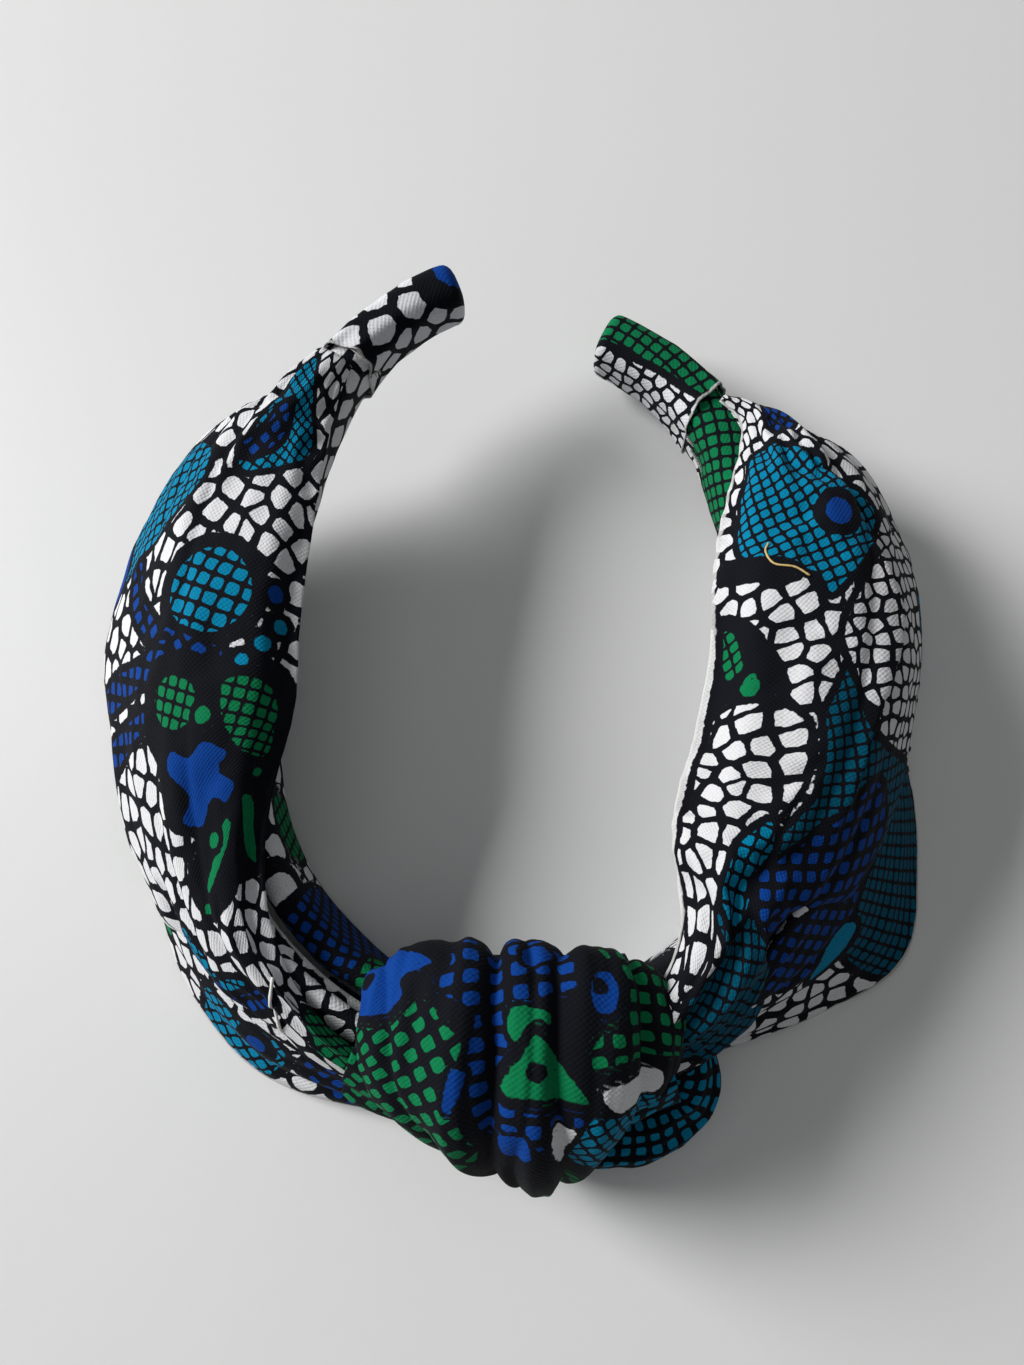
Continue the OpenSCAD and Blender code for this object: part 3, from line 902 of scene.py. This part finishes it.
# Long folds along each upper layer: (place across at the knot, in the middle
# and at the gathers, depth in mm, where it starts and where it ends)
FOLDS = {
    "left": [
        (0.30, 0.34, 0.42, 0.9, 100, 172),
        (0.62, 0.60, 0.58, 0.8, 118, 172),
        (0.36, 0.30, 0.26, 1.2, 12, 84),
        (0.58, 0.48, 0.40, 1.3, 12, 74),
        (0.78, 0.72, 0.66, 1.2, 12, 70),
    ],
    "right": [
        (0.40, 0.44, 0.52, 1.4, 60, 160),
        (0.24, 0.26, 0.30, 0.9, 118, 172),
        (0.70, 0.70, 0.68, 0.9, 124, 172),
        (0.30, 0.36, 0.40, 1.4, 12, 78),
        (0.62, 0.62, 0.60, 1.3, 12, 84),
        (0.82, 0.80, 0.78, 0.9, 12, 70),
    ],
}
TUCK = 2.2  # height of the step where the right strap folds over itself


def strap_grid(side, table, nu, nv):
    """Points of one layer: rows along the arm, columns from head side to hem."""
    keys = [row[0] for row in table]
    control = np.array([row[1:] for row in table], float)
    s = np.linspace(keys[0], keys[-1], nu)
    section = along(spline(keys, control, s), nv)
    S = np.repeat(s[:, None], nv, 1)
    grid = place(side, S, section[..., 0], section[..., 1], twist=False)
    return grid, S, np.repeat(np.linspace(0, 1, nv)[None], nu, 0)


def pleats(side, layer, S, T):
    """Height of the pleats near the gathers and the knot, in millimetres."""
    seed = 2.0 + 3.0 * (layer == "lower") + 7.0 * (side == "right")
    warp = soft_noise(np.stack([S / 40, T * 5], -1), 1.0, seed) * 0.5
    near_tip = ease(118, 166, S)
    near_knot = 1 - ease(26, 74, S)
    fine = np.sin((T * 9 + warp + 0.2) * 2 * math.pi)
    coarse = np.sin((T * 5 + warp * 0.8 + 0.1 * seed) * 2 * math.pi)
    high = near_tip * (0.45 * fine + 0.45 * coarse)
    high = high + near_knot * (0.55 * coarse + 0.25 * fine)
    taper = ease(0, 0.06, T) * ease(0, 0.06, 1 - T)
    return high * (0.35 + 0.65 * taper)


def wrinkles(side, S, T):
    """Soft random rumples, longer along the strap than across it."""
    seed = 21.0 if side == "left" else 34.0
    where = np.stack([S * 0.55, T * 74, 0 * S], -1)
    broad = soft_noise(where, 22.0, seed)
    mid = soft_noise(where, 9.0, seed + 5)
    small = soft_noise(where * np.array([1.6, 1.0, 1.0]), 4.2, seed + 9)
    return 1.2 * broad + 0.7 * mid + 0.28 * small


def make_strap(side, layer, table):
    """One layer of an arm's strap, from the knot to the gathers."""
    nu, nv = STRAP_STEPS
    grid, S, T = strap_grid(side, table[side], nu, nv)
    outward = normals_of(grid)
    up = np.sign(outward[nu // 2, nv // 3, 2])
    outward = outward * up
    high = pleats(side, layer, S, T) + wrinkles(side, S, T) * (1.0 if layer == "upper" else 0.6)
    if layer == "upper":
        for knot_t, mid_t, tip_t, depth, s0, s1 in FOLDS[side]:
            t0 = np.interp(S, [12, 90, 165], [knot_t, mid_t, tip_t])
            strength = ease(s0 - 14, s0 + 14, S) * (1 - ease(s1 - 14, s1 + 10, S))
            high = high + depth * strength * crease((T - t0) * STRAP_WIDTH[layer], 2.6)
        if side == "right":
            # The inner half laps over the outer half along a curved edge
            t0 = np.interp(S, [60, 85, 110, 135, 150], [0.52, 0.50, 0.58, 0.46, 0.36])
            reach = ease(62, 84, S) * (1 - ease(128, 150, S))
            over = (T - t0) * STRAP_WIDTH[layer]
            lap = np.where(over < 0, np.exp(over / 14), -np.exp(-over / 9) * 0.5)
            high = high + TUCK * reach * lap * ease(0, 1.4, np.abs(over))
    held = ease(0, 0.05, T) * ease(0, 0.05, 1 - T)
    tied = 1 - 0.75 * ease(156, 163, S)
    grid = grid + outward * (high * (0.4 + 0.6 * held) * tied)[..., None]
    if layer == "upper":
        free = ease(20, 50, S) * (1 - ease(148, 168, S)) * (0.35 + 0.65 * held)
        grid = grid + relax(grid, free, slack=0.035, cap=1.7)
    grid[..., 2] = np.maximum(grid[..., 2], FLOOR + PLY + 0.3)
    run = np.repeat(run_along(grid[:, nv // 2])[:, None], nv, 1)
    cloth = np.stack([run, T * STRAP_WIDTH[layer]], -1)
    if up < 0:
        grid, cloth = grid[:, ::-1], cloth[:, ::-1]
    ob, uv, hem = folded_sheet(f"strap_{side}_{layer}_cloth", grid, cloth, PLY)
    paint(ob, uv, hem, STRAP_MOTIFS[side, layer], **STRAP_GROUND[side, layer])
    dress(ob, COTTON)
    bend(ob)
    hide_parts(f"strap_{side}_{layer}")
    return ob


# ---------------------------------------------------------------- knot
# Profile of the knot's outer loop in its middle plane, from the head side over
# the top, down the front and under: (y, z, half width, depth, middle's x).
KNOT_PROFILE = [
    (-60, 27, 24, 8, 2.0),
    (-51.5, 33, 26.5, 12, 2.0),
    (-48, 41, 27.5, 15, 2.0),
    (-52, 46.5, 28, 17, 2.0),
    (-64, 47.5, 28, 20, 1.2),
    (-77, 43.5, 27, 23, 0.8),
    (-85.5, 34, 23, 24, 1.8),
    (-90.5, 20.5, 15.5, 20, 3.8),
    (-91.5, 10, 9, 13, 5.2),
    (-87, 4.0, 9, 9, 5.2),
    (-80, 2.3, 12, 7, 4.0),
    (-67, 3.4, 15, 5, 3.0),
]
# Creases of the outer loop: depth, width, then angle across it at eight even
# steps from the head side to underneath
KNOT_CREASES = [
    (3.6, 0.08, (-0.20, -0.20, -0.18, -0.14, -0.26, -0.42, -0.40, -0.30)),
    (1.9, 0.07, (-1.20, -1.10, -0.95, -0.78, -0.58, -0.45, -0.40, -0.30)),
    (2.6, 0.07, (0.30, 0.28, 0.20, 0.26, 0.38, 0.34, 0.15, 0.05)),
    (1.3, 0.05, (0.02, 0.00, 0.06, 0.08, -0.06, -0.14, -0.15, -0.10)),
    (2.0, 0.08, (0.72, 0.66, 0.78, 0.90, 0.88, 0.66, 0.40, 0.30)),
    (1.0, 0.10, (1.00, 1.04, 1.10, 1.15, 1.10, 0.95, 0.75, 0.50)),
]
# Middle lines of the tail that loops out of the knot and of its left root
LOBE_PATH = [
    (12, -64, 13), (26, -63, 15), (35, -68.5, 12.5), (35.5, -77, 9.5), (26, -84, 8.5), (12, -86, 9.5),
]
ROOT_PATH = [(-12, -74, 14), (-24, -71, 13), (-33, -66, 12), (-41, -60, 13)]
KNOT_MIDDLE = (-69.0, 23.0)  # (y, z) that the loop's sides turn in towards
KNOT_HALF = 27  # half the loop's width, which its cloth's places go by
KNOT_SPAN = 1.62  # angle from the middle of the loop to each side edge


def knot_grid():
    """Points of the knot's outer loop: rows across, columns from back to front."""
    nu = nv = 190
    keys = np.arange(len(KNOT_PROFILE))
    v = np.linspace(0, len(KNOT_PROFILE) - 1, nv)
    prof = spline(keys, np.array(KNOT_PROFILE, float), v)
    yz, width, depth, mid_x = prof[:, :2], prof[:, 2], prof[:, 3], prof[:, 4]
    inward = unit(np.array(KNOT_MIDDLE) - yz)
    A = np.linspace(-KNOT_SPAN, KNOT_SPAN, nu)[:, None]
    x = mid_x[None] + np.sin(A) * width[None]
    drop = (1 - np.cos(A)) * depth[None]
    y = yz[None, :, 0] + inward[None, :, 0] * drop
    z = yz[None, :, 1] + inward[None, :, 1] * drop
    grid = np.stack([x, y, z], -1)
    V = np.repeat((v / v[-1])[None], nu, 0)
    A = np.repeat(A, nv, 1)
    out = normals_of(grid)
    out = out * np.sign(out[nu // 2, nv // 3, 2])
    high = np.zeros((nu, nv))
    for deep, wide, where in KNOT_CREASES:
        a0 = spline(np.linspace(0, 1, len(where)), np.array(where), V[0])[None]
        high = high + deep * crease(A - a0, wide)
    ridges = soft_noise(np.stack([A * 4.0, V * 2.2], -1), 1.0, 6.0)
    fine = soft_noise(np.stack([A * 12.0, V * 5.0], -1), 1.0, 9.0)
    slanted = soft_noise(np.stack([A * 5.0 + V * 3.0, V * 7.0 - A * 2.0], -1), 1.0, 14.0)
    high = high + 1.9 + 1.1 * ridges + 0.45 * fine + 0.7 * slanted
    grid = grid + out * high[..., None]
    free = ease(0, 0.12, V) * ease(0, 0.25, 1 - V) * ease(0, 0.2, KNOT_SPAN - np.abs(A))
    grid = grid + relax(grid, free, slack=0.05, cap=1.4)
    grid[..., 2] = np.maximum(grid[..., 2], 0.8)
    return grid, A


def make_knot():
    """The outer loop, and the other strap's loop, tail and root inside it."""
    grid, A = knot_grid()
    nu = grid.shape[0]
    run = run_along(grid[nu // 2])
    cloth = np.stack([A * KNOT_HALF, np.repeat(run[None], nu, 0)], -1)
    # Rows run across the loop, so its folded edges are the first and last rows
    ob, uv, hem = folded_sheet("knot_outer_loop", grid.swapaxes(0, 1), cloth.swapaxes(0, 1), 1.6)
    paint(ob, uv, hem, KNOT_CLOTH, cell=4.6, turn=0.5, line=0.5)
    dress(ob, COTTON)
    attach(ob, "crown")
    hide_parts("knot_wrap")

    # The inner loop: the other strap, rolled through the outer loop
    a = np.linspace(0, 2 * math.pi, 110, endpoint=False)[None]

    def rolled(wide, high, lobes, deep, twist):
        def section(t):
            t = t[:, None]
            end = 0.82 + 0.18 * np.sin(math.pi * t)
            r = 1 - deep * np.abs(np.sin((a * lobes + twist * t * 6.0) / 2)) ** 5
            r = r + 0.02 * np.sin(a * 13 + t * 9)
            return wide * end * r * np.cos(a), high * end * r * np.sin(a)

        return section

    t = np.linspace(0, 1, 120)
    heart = np.stack([-27 + 54 * t, -67.5 + 5.0 * (2 * t - 1) ** 2, 21.5 + 0 * t], -1)
    grid = sweep(heart, rolled(17.5, 18.5, 7, 0.10, 0.3))
    lobe_grid = sweep(smooth_path(LOBE_PATH, 120), rolled(6.2, 6.6, 3, 0.16, 0.8))
    left_grid = sweep(smooth_path(ROOT_PATH, 90), rolled(7.0, 9.0, 4, 0.14, 0.5))
    for name, g, seed, node in (
        ("knot_inner_loop", grid, 4.0, "knot_heart"),
        ("knot_inner_lobe", lobe_grid, 7.0, None),
        ("knot_left_root", left_grid, 9.0, None),
    ):
        g = g + unit(g - g.mean(1, keepdims=True)) * (0.7 * soft_noise(g, 5.0, seed))[..., None]
        g[..., 2] = np.maximum(g[..., 2], 0.8)
        ob = tube(name, g)
        run, around = run_along(g.mean(1)), run_along(g[len(g) // 2])
        uv = np.stack(np.meshgrid(run, around, indexing="ij"), -1).reshape(-1, 2)
        paint(ob, uv, np.full(len(uv), 9.0), INNER_CLOTH, cell=4.4, turn=0.9, line=0.6)
        dress(ob, COTTON)
        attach(ob, "crown")
        if node:
            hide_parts(node)


def on_cloth(ob, spots, lift):
    """Points that lie on top of a piece of cloth, at places (u, v) on it."""
    n = len(ob.data.vertices)
    co, uv = np.empty(n * 3), np.empty(n * 3)
    ob.data.vertices.foreach_get("co", co)
    ob.data.attributes["cloth"].data.foreach_get("vector", uv)
    co, uv = co.reshape(-1, 3) / MM, uv.reshape(-1, 3)
    points = []
    for u, v in spots:
        near = np.argsort((uv[:, 0] - u) ** 2 + (uv[:, 1] - v) ** 2)[:6]
        points.append(co[near[np.argmax(co[near, 2])]] + (0, 0, lift))
    return points


def make_loose_end(name, strap, side, material, radius, spots):
    """A short loose end of sewing thread that lies on a strap."""
    ob = thread(name, on_cloth(strap, spots, radius), radius)
    dress(ob, material)
    bend(ob)


def make_tack():
    """Three stitches that hold the knot to the band, on the head side."""
    parts = []
    for k in (-1, 0, 1):
        a = FLEX_TURN / 3 * k
        pts = []
        for t in np.linspace(-1, 1, 7):
            b = a + t * math.radians(2.6)
            r = CROWN_R - SLEEVE_HALF - 0.1 - 0.45 * (1 - t * t)
            pts.append((r * math.sin(b), CENTRE_Y - r * math.cos(b), CROWN_H / 3 + 0.3 + 0.5 * t))
        parts.append(thread("stitch", pts, 0.26))
    ob = join("knot_tack_thread", parts)
    dress(ob, WHITE_THREAD)
    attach(ob, "crown")
    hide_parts("knot_tack")


# ---------------------------------------------------------------- motif lists
# Outlines are in millimetres on the cloth: along the piece from the knot, then
# across it from its head-side edge. Later motifs lie over earlier ones.
def solid(colour, *outline):
    return ("solid", colour, outline, 0, 1)


def lattice(colour, turn, pitch, *outline):
    """Small squares, nearly touching."""
    return ("lattice", colour, outline, turn, pitch)


def sparse(colour, turn, pitch, *outline):
    """Small squares with wider black lines between them."""
    return ("sparse", colour, outline, turn, pitch)


def cells(turn, pitch, *outline):
    """White cells of another size than the ground's."""
    return ("cells", WHITE, outline, turn, pitch)


RING = 2.0  # width of the line round a ringed motif


def ringed(colour, u, v, r, turn, pitch):
    """A latticed round with a thick black line round it."""
    return [solid(BLACK, *disc(u, v, r + RING)), lattice(colour, turn, pitch, *disc(u, v, r))]


def dots(colour, *spots):
    """Solid rounds, each with a black line round it."""
    return [solid(colour, *disc(u, v, r + LINE / 2)) for u, v, r in spots]


LEFT_UPPER = [
    # Towards the gathers: latticed leaves with a royal vein between them
    lattice(
        TEAL, 0.35, 2.5, (186, 24), (175, 11), (163, 3), (157, 8), (152, 23), (160, 25),
        (169, 25), (178, 28),
    ),
    sparse(ROYAL, 0.5, 3.6, (172, 18), (163, 14), (156, 21), (158, 27), (164, 22), (170, 22)),
    lattice(
        TEAL, -0.4, 2.6, (157, 36), (160, 52), (150, 64), (138, 68), (128, 62), (133, 48),
        (142, 37), (150, 32),
    ),
    solid(ROYAL, (140, 66), (130, 72), (122, 64), (132, 58)),
    # A round with chains of squares curling away from it
    *ringed(TEAL, 125, 21, 10.5, 0.25, 3.6),
    sparse(
        ROYAL, 0.9, 4.0, (131, 51), (121, 46), (114, 37), (110, 27), (109, 17), (113, 16),
        (116, 25), (119, 34), (125, 42), (133, 47),
    ),
    sparse(
        ROYAL, 0.2, 4.0, (115, 30), (111, 40), (110, 55), (106, 66), (101, 64), (103, 50),
        (105, 37), (109, 28),
    ),
    sparse(
        ROYAL, 0.1, 3.8, (101, 35), (100, 46), (97, 60), (91, 70), (87, 66), (91, 56), (94, 45),
        (97, 36),
    ),
    # A black field with latticed lobes, a notched blob and drops
    solid(
        BLACK, (108, 34), (111, 24), (108, 14), (110, 7), (107, 1), (85, -2), (62, -1), (59, 9),
        (55, 22), (62, 29), (69, 27), (73, 24), (77, 32), (88, 33), (97, 37),
    ),
    lattice(GREEN, 0.3, 2.8, *disc(101, 27, 6.4, 1.1)),
    lattice(GREEN, 0.2, 2.8, (105, 16), (107, 10), (104, 4), (96, 2), (87, 3), (88, 10), (96, 15)),
    solid(
        ROYAL, (92, 28), (90, 23), (93, 18), (89, 12), (85, 14), (81, 10), (76, 13), (78, 17),
        (73, 21), (76, 28), (81, 25), (87, 30),
    ),
    solid(GREEN, (78, 9), (77, 4), (69, 2), (61, 1), (64, 6), (71, 8)),
    solid(GREEN, (72, 11), (67, 13), (60, 20), (61, 24), (67, 19), (74, 14)),
    *dots(GREEN, (98, 19, 2.4), (83, 5, 1.7), (70, 18, 2.2), (58, 25, 1.6)),
    *dots(TEAL, (114, 8, 2.4), (110, 12, 1.9), (119, 4, 2.2)),
    *dots(ROYAL, (126, 6, 2.5)),
    # Near the knot, a teal arc with a royal band beside it
    lattice(
        TEAL, 0.6, 2.6, (60, 45), (50, 40), (44, 27), (38, 24), (35, 29), (40, 38), (47, 51),
        (56, 58),
    ),
    sparse(ROYAL, 0.3, 3.6, (50, 50), (43, 36), (38, 16), (33, 18), (36, 34), (44, 54)),
    lattice(GREEN, 0.3, 3.0, (30, 2), (26, 14), (20, 20), (12, 12), (12, 0), (22, -2)),
]
LEFT_LOWER = [
    lattice(TEAL, 0.5, 2.7, (50, 35), (46, 49), (36, 51), (29, 45), (28, 33), (34, 30), (40, 33)),
    sparse(ROYAL, 0.4, 3.6, (26, 32), (20, 42), (14, 49), (8, 44), (12, 33), (20, 25)),
    solid(BLACK, *disc(35, 36, 4.0)),
    *dots(ROYAL, (35, 36, 2.6)),
    *dots(GREEN, (64, 42, 2.6), (76, 44, 2.2)),
    lattice(GREEN, 0.2, 3.0, (96, 38), (104, 49), (84, 51), (74, 44), (82, 37)),
    *ringed(TEAL, 124, 42, 9.5, 0.4, 3.2),
]
RIGHT_UPPER = [
    # A latticed leaf with a dot, and a black bar under it
    lattice(
        TEAL, 0.3, 2.7, (162, 12), (155, 32), (150, 34), (145, 42), (138, 45), (129, 37),
        (122, 30), (118, 25), (123, 22), (127, 15), (131, 7), (141, 5), (154, 6),
    ),
    solid(BLACK, *disc(138, 29, 5.0)),
    *dots(ROYAL, (138, 29, 3.6)),
    solid(BLACK, (130, 3), (130, 8), (127, 17), (123, 18), (125, 8), (126, 2)),
    solid(BLACK, (117, 1), (114, 9), (104, 15), (96, 17), (92, 10), (96, 1), (106, -2)),
    lattice(GREEN, 0.4, 3.0, (115, 2), (112, 7), (104, 10), (101, 5), (106, 0)),
    solid(GREEN, (103, 11), (99, 14), (95, 12), (98, 8)),
    # Small neat cells on the outside, big ones along the inside
    cells(
        0.2, 3.7, (141, 50), (131, 66), (118, 78), (98, 80), (88, 68), (88, 48), (94, 35),
        (102, 30), (110, 27), (118, 30), (126, 36),
    ),
    lattice(TEAL, 0.2, 2.6, (124, 60), (118, 72), (108, 78), (106, 68), (114, 60)),
    cells(
        0.3, 6.4, (94, 4), (95, 15), (90, 23), (75, 26), (65, 23), (56, 19), (44, 18), (38, 16),
        (28, 18), (22, 13), (36, 1), (60, -1), (84, -1),
    ),
    # A latticed field in teal darkened as painted shade, with bright and royal patches
    lattice(
        SHADED_TEAL, 0.35, 2.5, (104, 29), (94, 35), (90, 37), (88, 48), (88, 66), (72, 78),
        (40, 80), (22, 70), (14, 50), (17, 30), (22, 16), (33, 24), (38, 16), (44, 18),
        (56, 19), (65, 26), (74, 29), (92, 25),
    ),
    lattice(
        TEAL, 0.2, 3.3, (66, 22), (58, 28), (51, 29), (42, 28), (38, 23), (42, 18), (49, 18),
        (57, 18),
    ),
    sparse(
        ROYAL, 0.5, 3.8, (82, 46), (77, 58), (62, 66), (46, 62), (42, 44), (45, 32), (52, 27),
        (62, 31), (73, 37),
    ),
    solid(WHITE, (112, -2), (70, -2), (30, -2), (30, 1), (70, 2), (112, 1.5)),
    sparse(ROYAL, 0.4, 3.4, (176, 20), (176, 34), (168, 38), (164, 26), (168, 18)),
]
RIGHT_LOWER = [
    # Teal lattices darkened as painted shade
    lattice(
        SHADED_TEAL, 0.2, 2.3, (104, 29), (99, 42), (84, 51), (68, 52), (58, 47), (56, 33),
        (62, 24), (82, 21),
    ),
    sparse(
        ROYAL, 0.4, 3.7, (84, 27), (68, 24), (56, 29), (44, 27), (38, 15), (46, 6), (62, 11),
        (78, 18),
    ),
    solid(TEAL, (63, 29), (61, 23), (53, 25), (47, 32), (53, 32)),
    lattice(SHADED_TEAL, 0.4, 2.5, (30, 38), (22, 51), (10, 49), (8, 35), (18, 30)),
    *ringed(TEAL, 124, 40, 9.0, 0.4, 3.2),
]
LEFT_SLEEVE = [
    solid(BLACK, *disc(55, 1, 6.0, 1.1)),
    solid(WHITE, *disc(55, 1, 4.2, 1.15)),
    sparse(
        ROYAL, 0.3, 3.0, (53, 12), (48, 24), (34, 28), (22, 24), (20, 6), (33, -8), (40, -14),
        (50, -8),
    ),
    lattice(GREEN, 0.3, 3.0, (76, 12), (70, 24), (60, 24), (58, 12), (66, 8)),
    lattice(GREEN, 0.4, 3.2, (32, 8), (18, 10), (4, 6), (4, -10), (20, -14), (30, -8)),
    *ringed(TEAL, 96, -22, 8.0, 0.4, 3.0),
    lattice(GREEN, 0.4, 3.0, *disc(132, -26, 8, 1.2)),
]
RIGHT_SLEEVE = [
    lattice(
        GREEN, 0.3, 2.9, (176, -4), (168, 8), (160, 13), (149, 17), (139, 13), (136, 0),
        (146, -8), (164, -10),
    ),
    solid(BLACK, (34, 12), (20, 16), (2, 14), (2, -6), (20, -10), (34, -4)),
    lattice(GREEN, 0.3, 3.6, (30, 10), (20, 13), (8, 12), (6, -2), (20, -6), (30, -2)),
    *ringed(TEAL, 84, -24, 8.0, 0.4, 3.0),
]
LEFT_COVER = [
    solid(BLACK, (202, -8), (201, 4), (195, 6), (190, 2), (191, -6), (196, -11)),
    solid(ROYAL, (201, -6), (200, 2), (196, 3), (193, -1), (194, -6), (197, -8)),
    lattice(TEAL, 0.4, 3.0, *disc(180, -20, 7.5)),
]
RIGHT_COVER = [
    lattice(
        GREEN, 0.1, 2.8, (204, -12), (202, 2), (190, 4), (180, 3), (172, 2), (164, -2),
        (168, -16), (186, -20),
    ),
]
KNOT_CLOTH = [
    solid(BLACK, (-60, -20), (0, -24), (60, -20), (64, 50), (60, 130), (0, 134), (-60, 130), (-64, 50)),
    sparse(
        GREEN, 0.6, 4.0, (-31, 33), (-16, 33), (-12, 37), (-8, 41), (-10, 50), (-7, 58),
        (-8, 68), (-24, 72), (-38, 60), (-42, 46), (-38, 36),
    ),
    sparse(
        ROYAL, 0.15, 3.9, (-15, 32), (-14, 24), (-4, 21), (8, 21), (9, 31), (3, 34), (-1, 42),
        (-2, 48), (10, 52), (10, 58), (-6, 60), (-8, 44), (-8, 36),
    ),
    # A rounded tag with a dot
    solid(BLACK, (-36, 21), (-26, 19), (-13, 26), (-18, 33), (-24, 37), (-37, 33), (-40, 27)),
    solid(
        ROYAL, (-34, 23), (-26, 21), (-15, 27), (-21, 29), (-20, 32), (-25, 35), (-35, 32),
        (-37, 27),
    ),
    *dots(BLACK, (-31, 26, 1.0)),
    sparse(
        GREEN, 0.2, 3.8, (11, 21), (18, 18), (27, 21), (34, 28), (35, 38), (27, 41), (18, 43),
        (12, 45), (11, 41), (16, 33), (14, 27),
    ),
    solid(BLACK, *disc(13, 31.5, 4.2, 1.4)),
    solid(ROYAL, *disc(13, 31.5, 2.8, 1.5)),
    *dots(BLACK, (12.2, 30.6, 0.5)),
    # A drop and a three-cornered leaf below it
    solid(GREEN, (-2, 35), (4, 35), (5, 38), (1, 41), (-2, 40)),
    solid(BLACK, (4, 38), (13, 52), (3, 52), (-4, 50), (0, 41)),
    solid(GREEN, (3, 39), (8, 45), (12, 51), (4, 50.5), (-3, 49.5), (0, 43)),
    *dots(BLACK, (3, 45.5, 0.8)),
    solid(ROYAL, (-1, 25), (1, 22), (5, 24), (4, 27), (0, 28)),
    solid(ROYAL, (-3, 58), (2, 57), (3, 62), (-2, 63)),
    solid(ROYAL, (-11, 52), (-10, 45), (-7, 46), (-9, 53)),
    solid(WHITE, (13, 49), (19, 46), (27, 44), (27, 51), (18, 54)),
    solid(WHITE, (6, 56), (13, 58), (15, 64), (8, 67)),
    lattice(TEAL, 0.5, 2.5, (12, 54), (18, 54), (28, 52), (30, 62), (20, 70), (10, 68)),
    sparse(GREEN, 0.3, 3.4, (-30, -14), (-14, -8), (-12, 8), (-26, 12), (-38, 4), (-38, -8)),
    *ringed(TEAL, 12, 2, 9.0, 0.2, 3.2),
    sparse(GREEN, 0.3, 3.4, (34, 78), (22, 90), (6, 94), (0, 82), (14, 76)),
]
INNER_CLOTH = [
    solid(BLACK, (-20, -20), (90, -20), (100, 60), (90, 130), (-20, 130), (-30, 60)),
    sparse(TEAL, 0.2, 3.0, (30, -6), (76, -8), (80, 40), (76, 70), (30, 66), (26, 30)),
    sparse(GREEN, 0.3, 3.2, (-6, 2), (14, 0), (18, 16), (12, 34), (-4, 34), (-8, 18)),
    solid(WHITE, (-3, 42), (5, 40), (8, 46), (2, 52), (-4, 50)),
    *dots(ROYAL, (22, 20, 2.4), (24, 44, 2.0), (44, 60, 2.2)),
]

SLEEVE_GROUND = {"left": dict(cell=6.4, turn=0.5), "right": dict(cell=3.6, turn=0.3)}
SLEEVE_MOTIFS = {"left": LEFT_SLEEVE, "right": RIGHT_SLEEVE}
COVER_GROUND = {"left": dict(cell=6.6, turn=0.9), "right": dict(cell=3.6, turn=0.2)}
COVER_MOTIFS = {"left": LEFT_COVER, "right": RIGHT_COVER}
STRAP_GROUND = {
    ("left", "upper"): dict(cell=6.0, turn=0.4, worn=0.2),
    ("left", "lower"): dict(cell=5.4, turn=0.9),
    ("right", "upper"): dict(cell=5.2, turn=0.3),
    ("right", "lower"): dict(cell=4.8, turn=1.2),
}
STRAP_MOTIFS = {
    ("left", "upper"): LEFT_UPPER,
    ("left", "lower"): LEFT_LOWER,
    ("right", "upper"): RIGHT_UPPER,
    ("right", "lower"): RIGHT_LOWER,
}

LOOSE_ENDS = {
    "left": (WHITE_THREAD, 0.32, [(38, 8), (35, 18), (34, 24), (31, 30), (29, 38), (27, 46)]),
    "right": (YELLOW_THREAD, 0.22, [(134, 13), (131, 12), (128, 14), (126, 17), (124, 21)]),
}

for side in SIDES:
    make_band(side)
    make_end_cover(side)
    make_lashing(side)
    make_strap(side, "lower", LOWER)
    strap = make_strap(side, "upper", UPPER)
    make_loose_end(f"loose_thread_{side}", strap, side, *LOOSE_ENDS[side])
make_knot()
make_tack()


# ---------------------------------------------------------------- stage
def stage():
    """A pale table, a dim room, a window on the left and light from above."""
    mesh = bpy.data.meshes.new("table_top")
    r = 3.0  # half the table's width, in metres
    mesh.from_pydata([(-r, -r, 0), (r, -r, 0), (r, r, 0), (-r, r, 0)], [], [(0, 1, 2, 3)])
    ob = link("table_top", mesh)
    paint_light, paint_dark = (0.76, 0.765, 0.755), (0.735, 0.74, 0.73)
    ob.data.materials.append(mottled("table_paint", paint_light, paint_dark, 9, 0.42, 240, 0.00005))
    world = bpy.data.worlds.new("studio")
    bpy.context.scene.world = world
    world.use_nodes = True
    world.node_tree.nodes["Background"].inputs[0].default_value = (0.96, 0.97, 0.99, 1)
    world.node_tree.nodes["Background"].inputs[1].default_value = 0.15
    for name, size, energy, where in (
        ("window", (1.0, 0.8), 58.0, (-1.70, 0.50, 1.15)),
        ("ceiling", (1.8, 1.8), 2.4, (0.10, 0.20, 1.60)),
    ):
        lamp = bpy.data.lights.new(name, "AREA")
        lamp.shape = "RECTANGLE"
        lamp.size, lamp.size_y = size
        lamp.energy = energy
        ob = link(name, lamp)
        ob.location = where
        ob.rotation_euler = (Vector((0, 0, 0.02)) - ob.location).to_track_quat("-Z", "Y").to_euler()


CAMERA_Y, CAMERA_Z = -0.0455, 0.226
FOCAL, TALL = 1000, 1365  # focal length and the picture's height, in pixels


def camera():
    """A phone's main camera, held above the knot and tipped back a little. The
    headband lies turned a few degrees from square to the picture."""
    cam = bpy.data.cameras.new("camera")
    cam.sensor_fit = "VERTICAL"
    cam.sensor_height = 24.0
    cam.lens = cam.sensor_height * FOCAL / TALL
    ob = link("camera", cam)
    tilt, turn = math.radians(14.0), math.radians(1.75)
    knot_y = frame["record"]["mounts"][0]["pos_m"][1]
    behind = CAMERA_Y - knot_y
    ob.location = (-behind * math.sin(turn), knot_y + behind * math.cos(turn), CAMERA_Z)
    ob.rotation_euler = (tilt, 0.0, turn)
    bpy.context.scene.camera = ob


stage()
camera()
bpy.context.scene.view_settings.view_transform = "Standard"
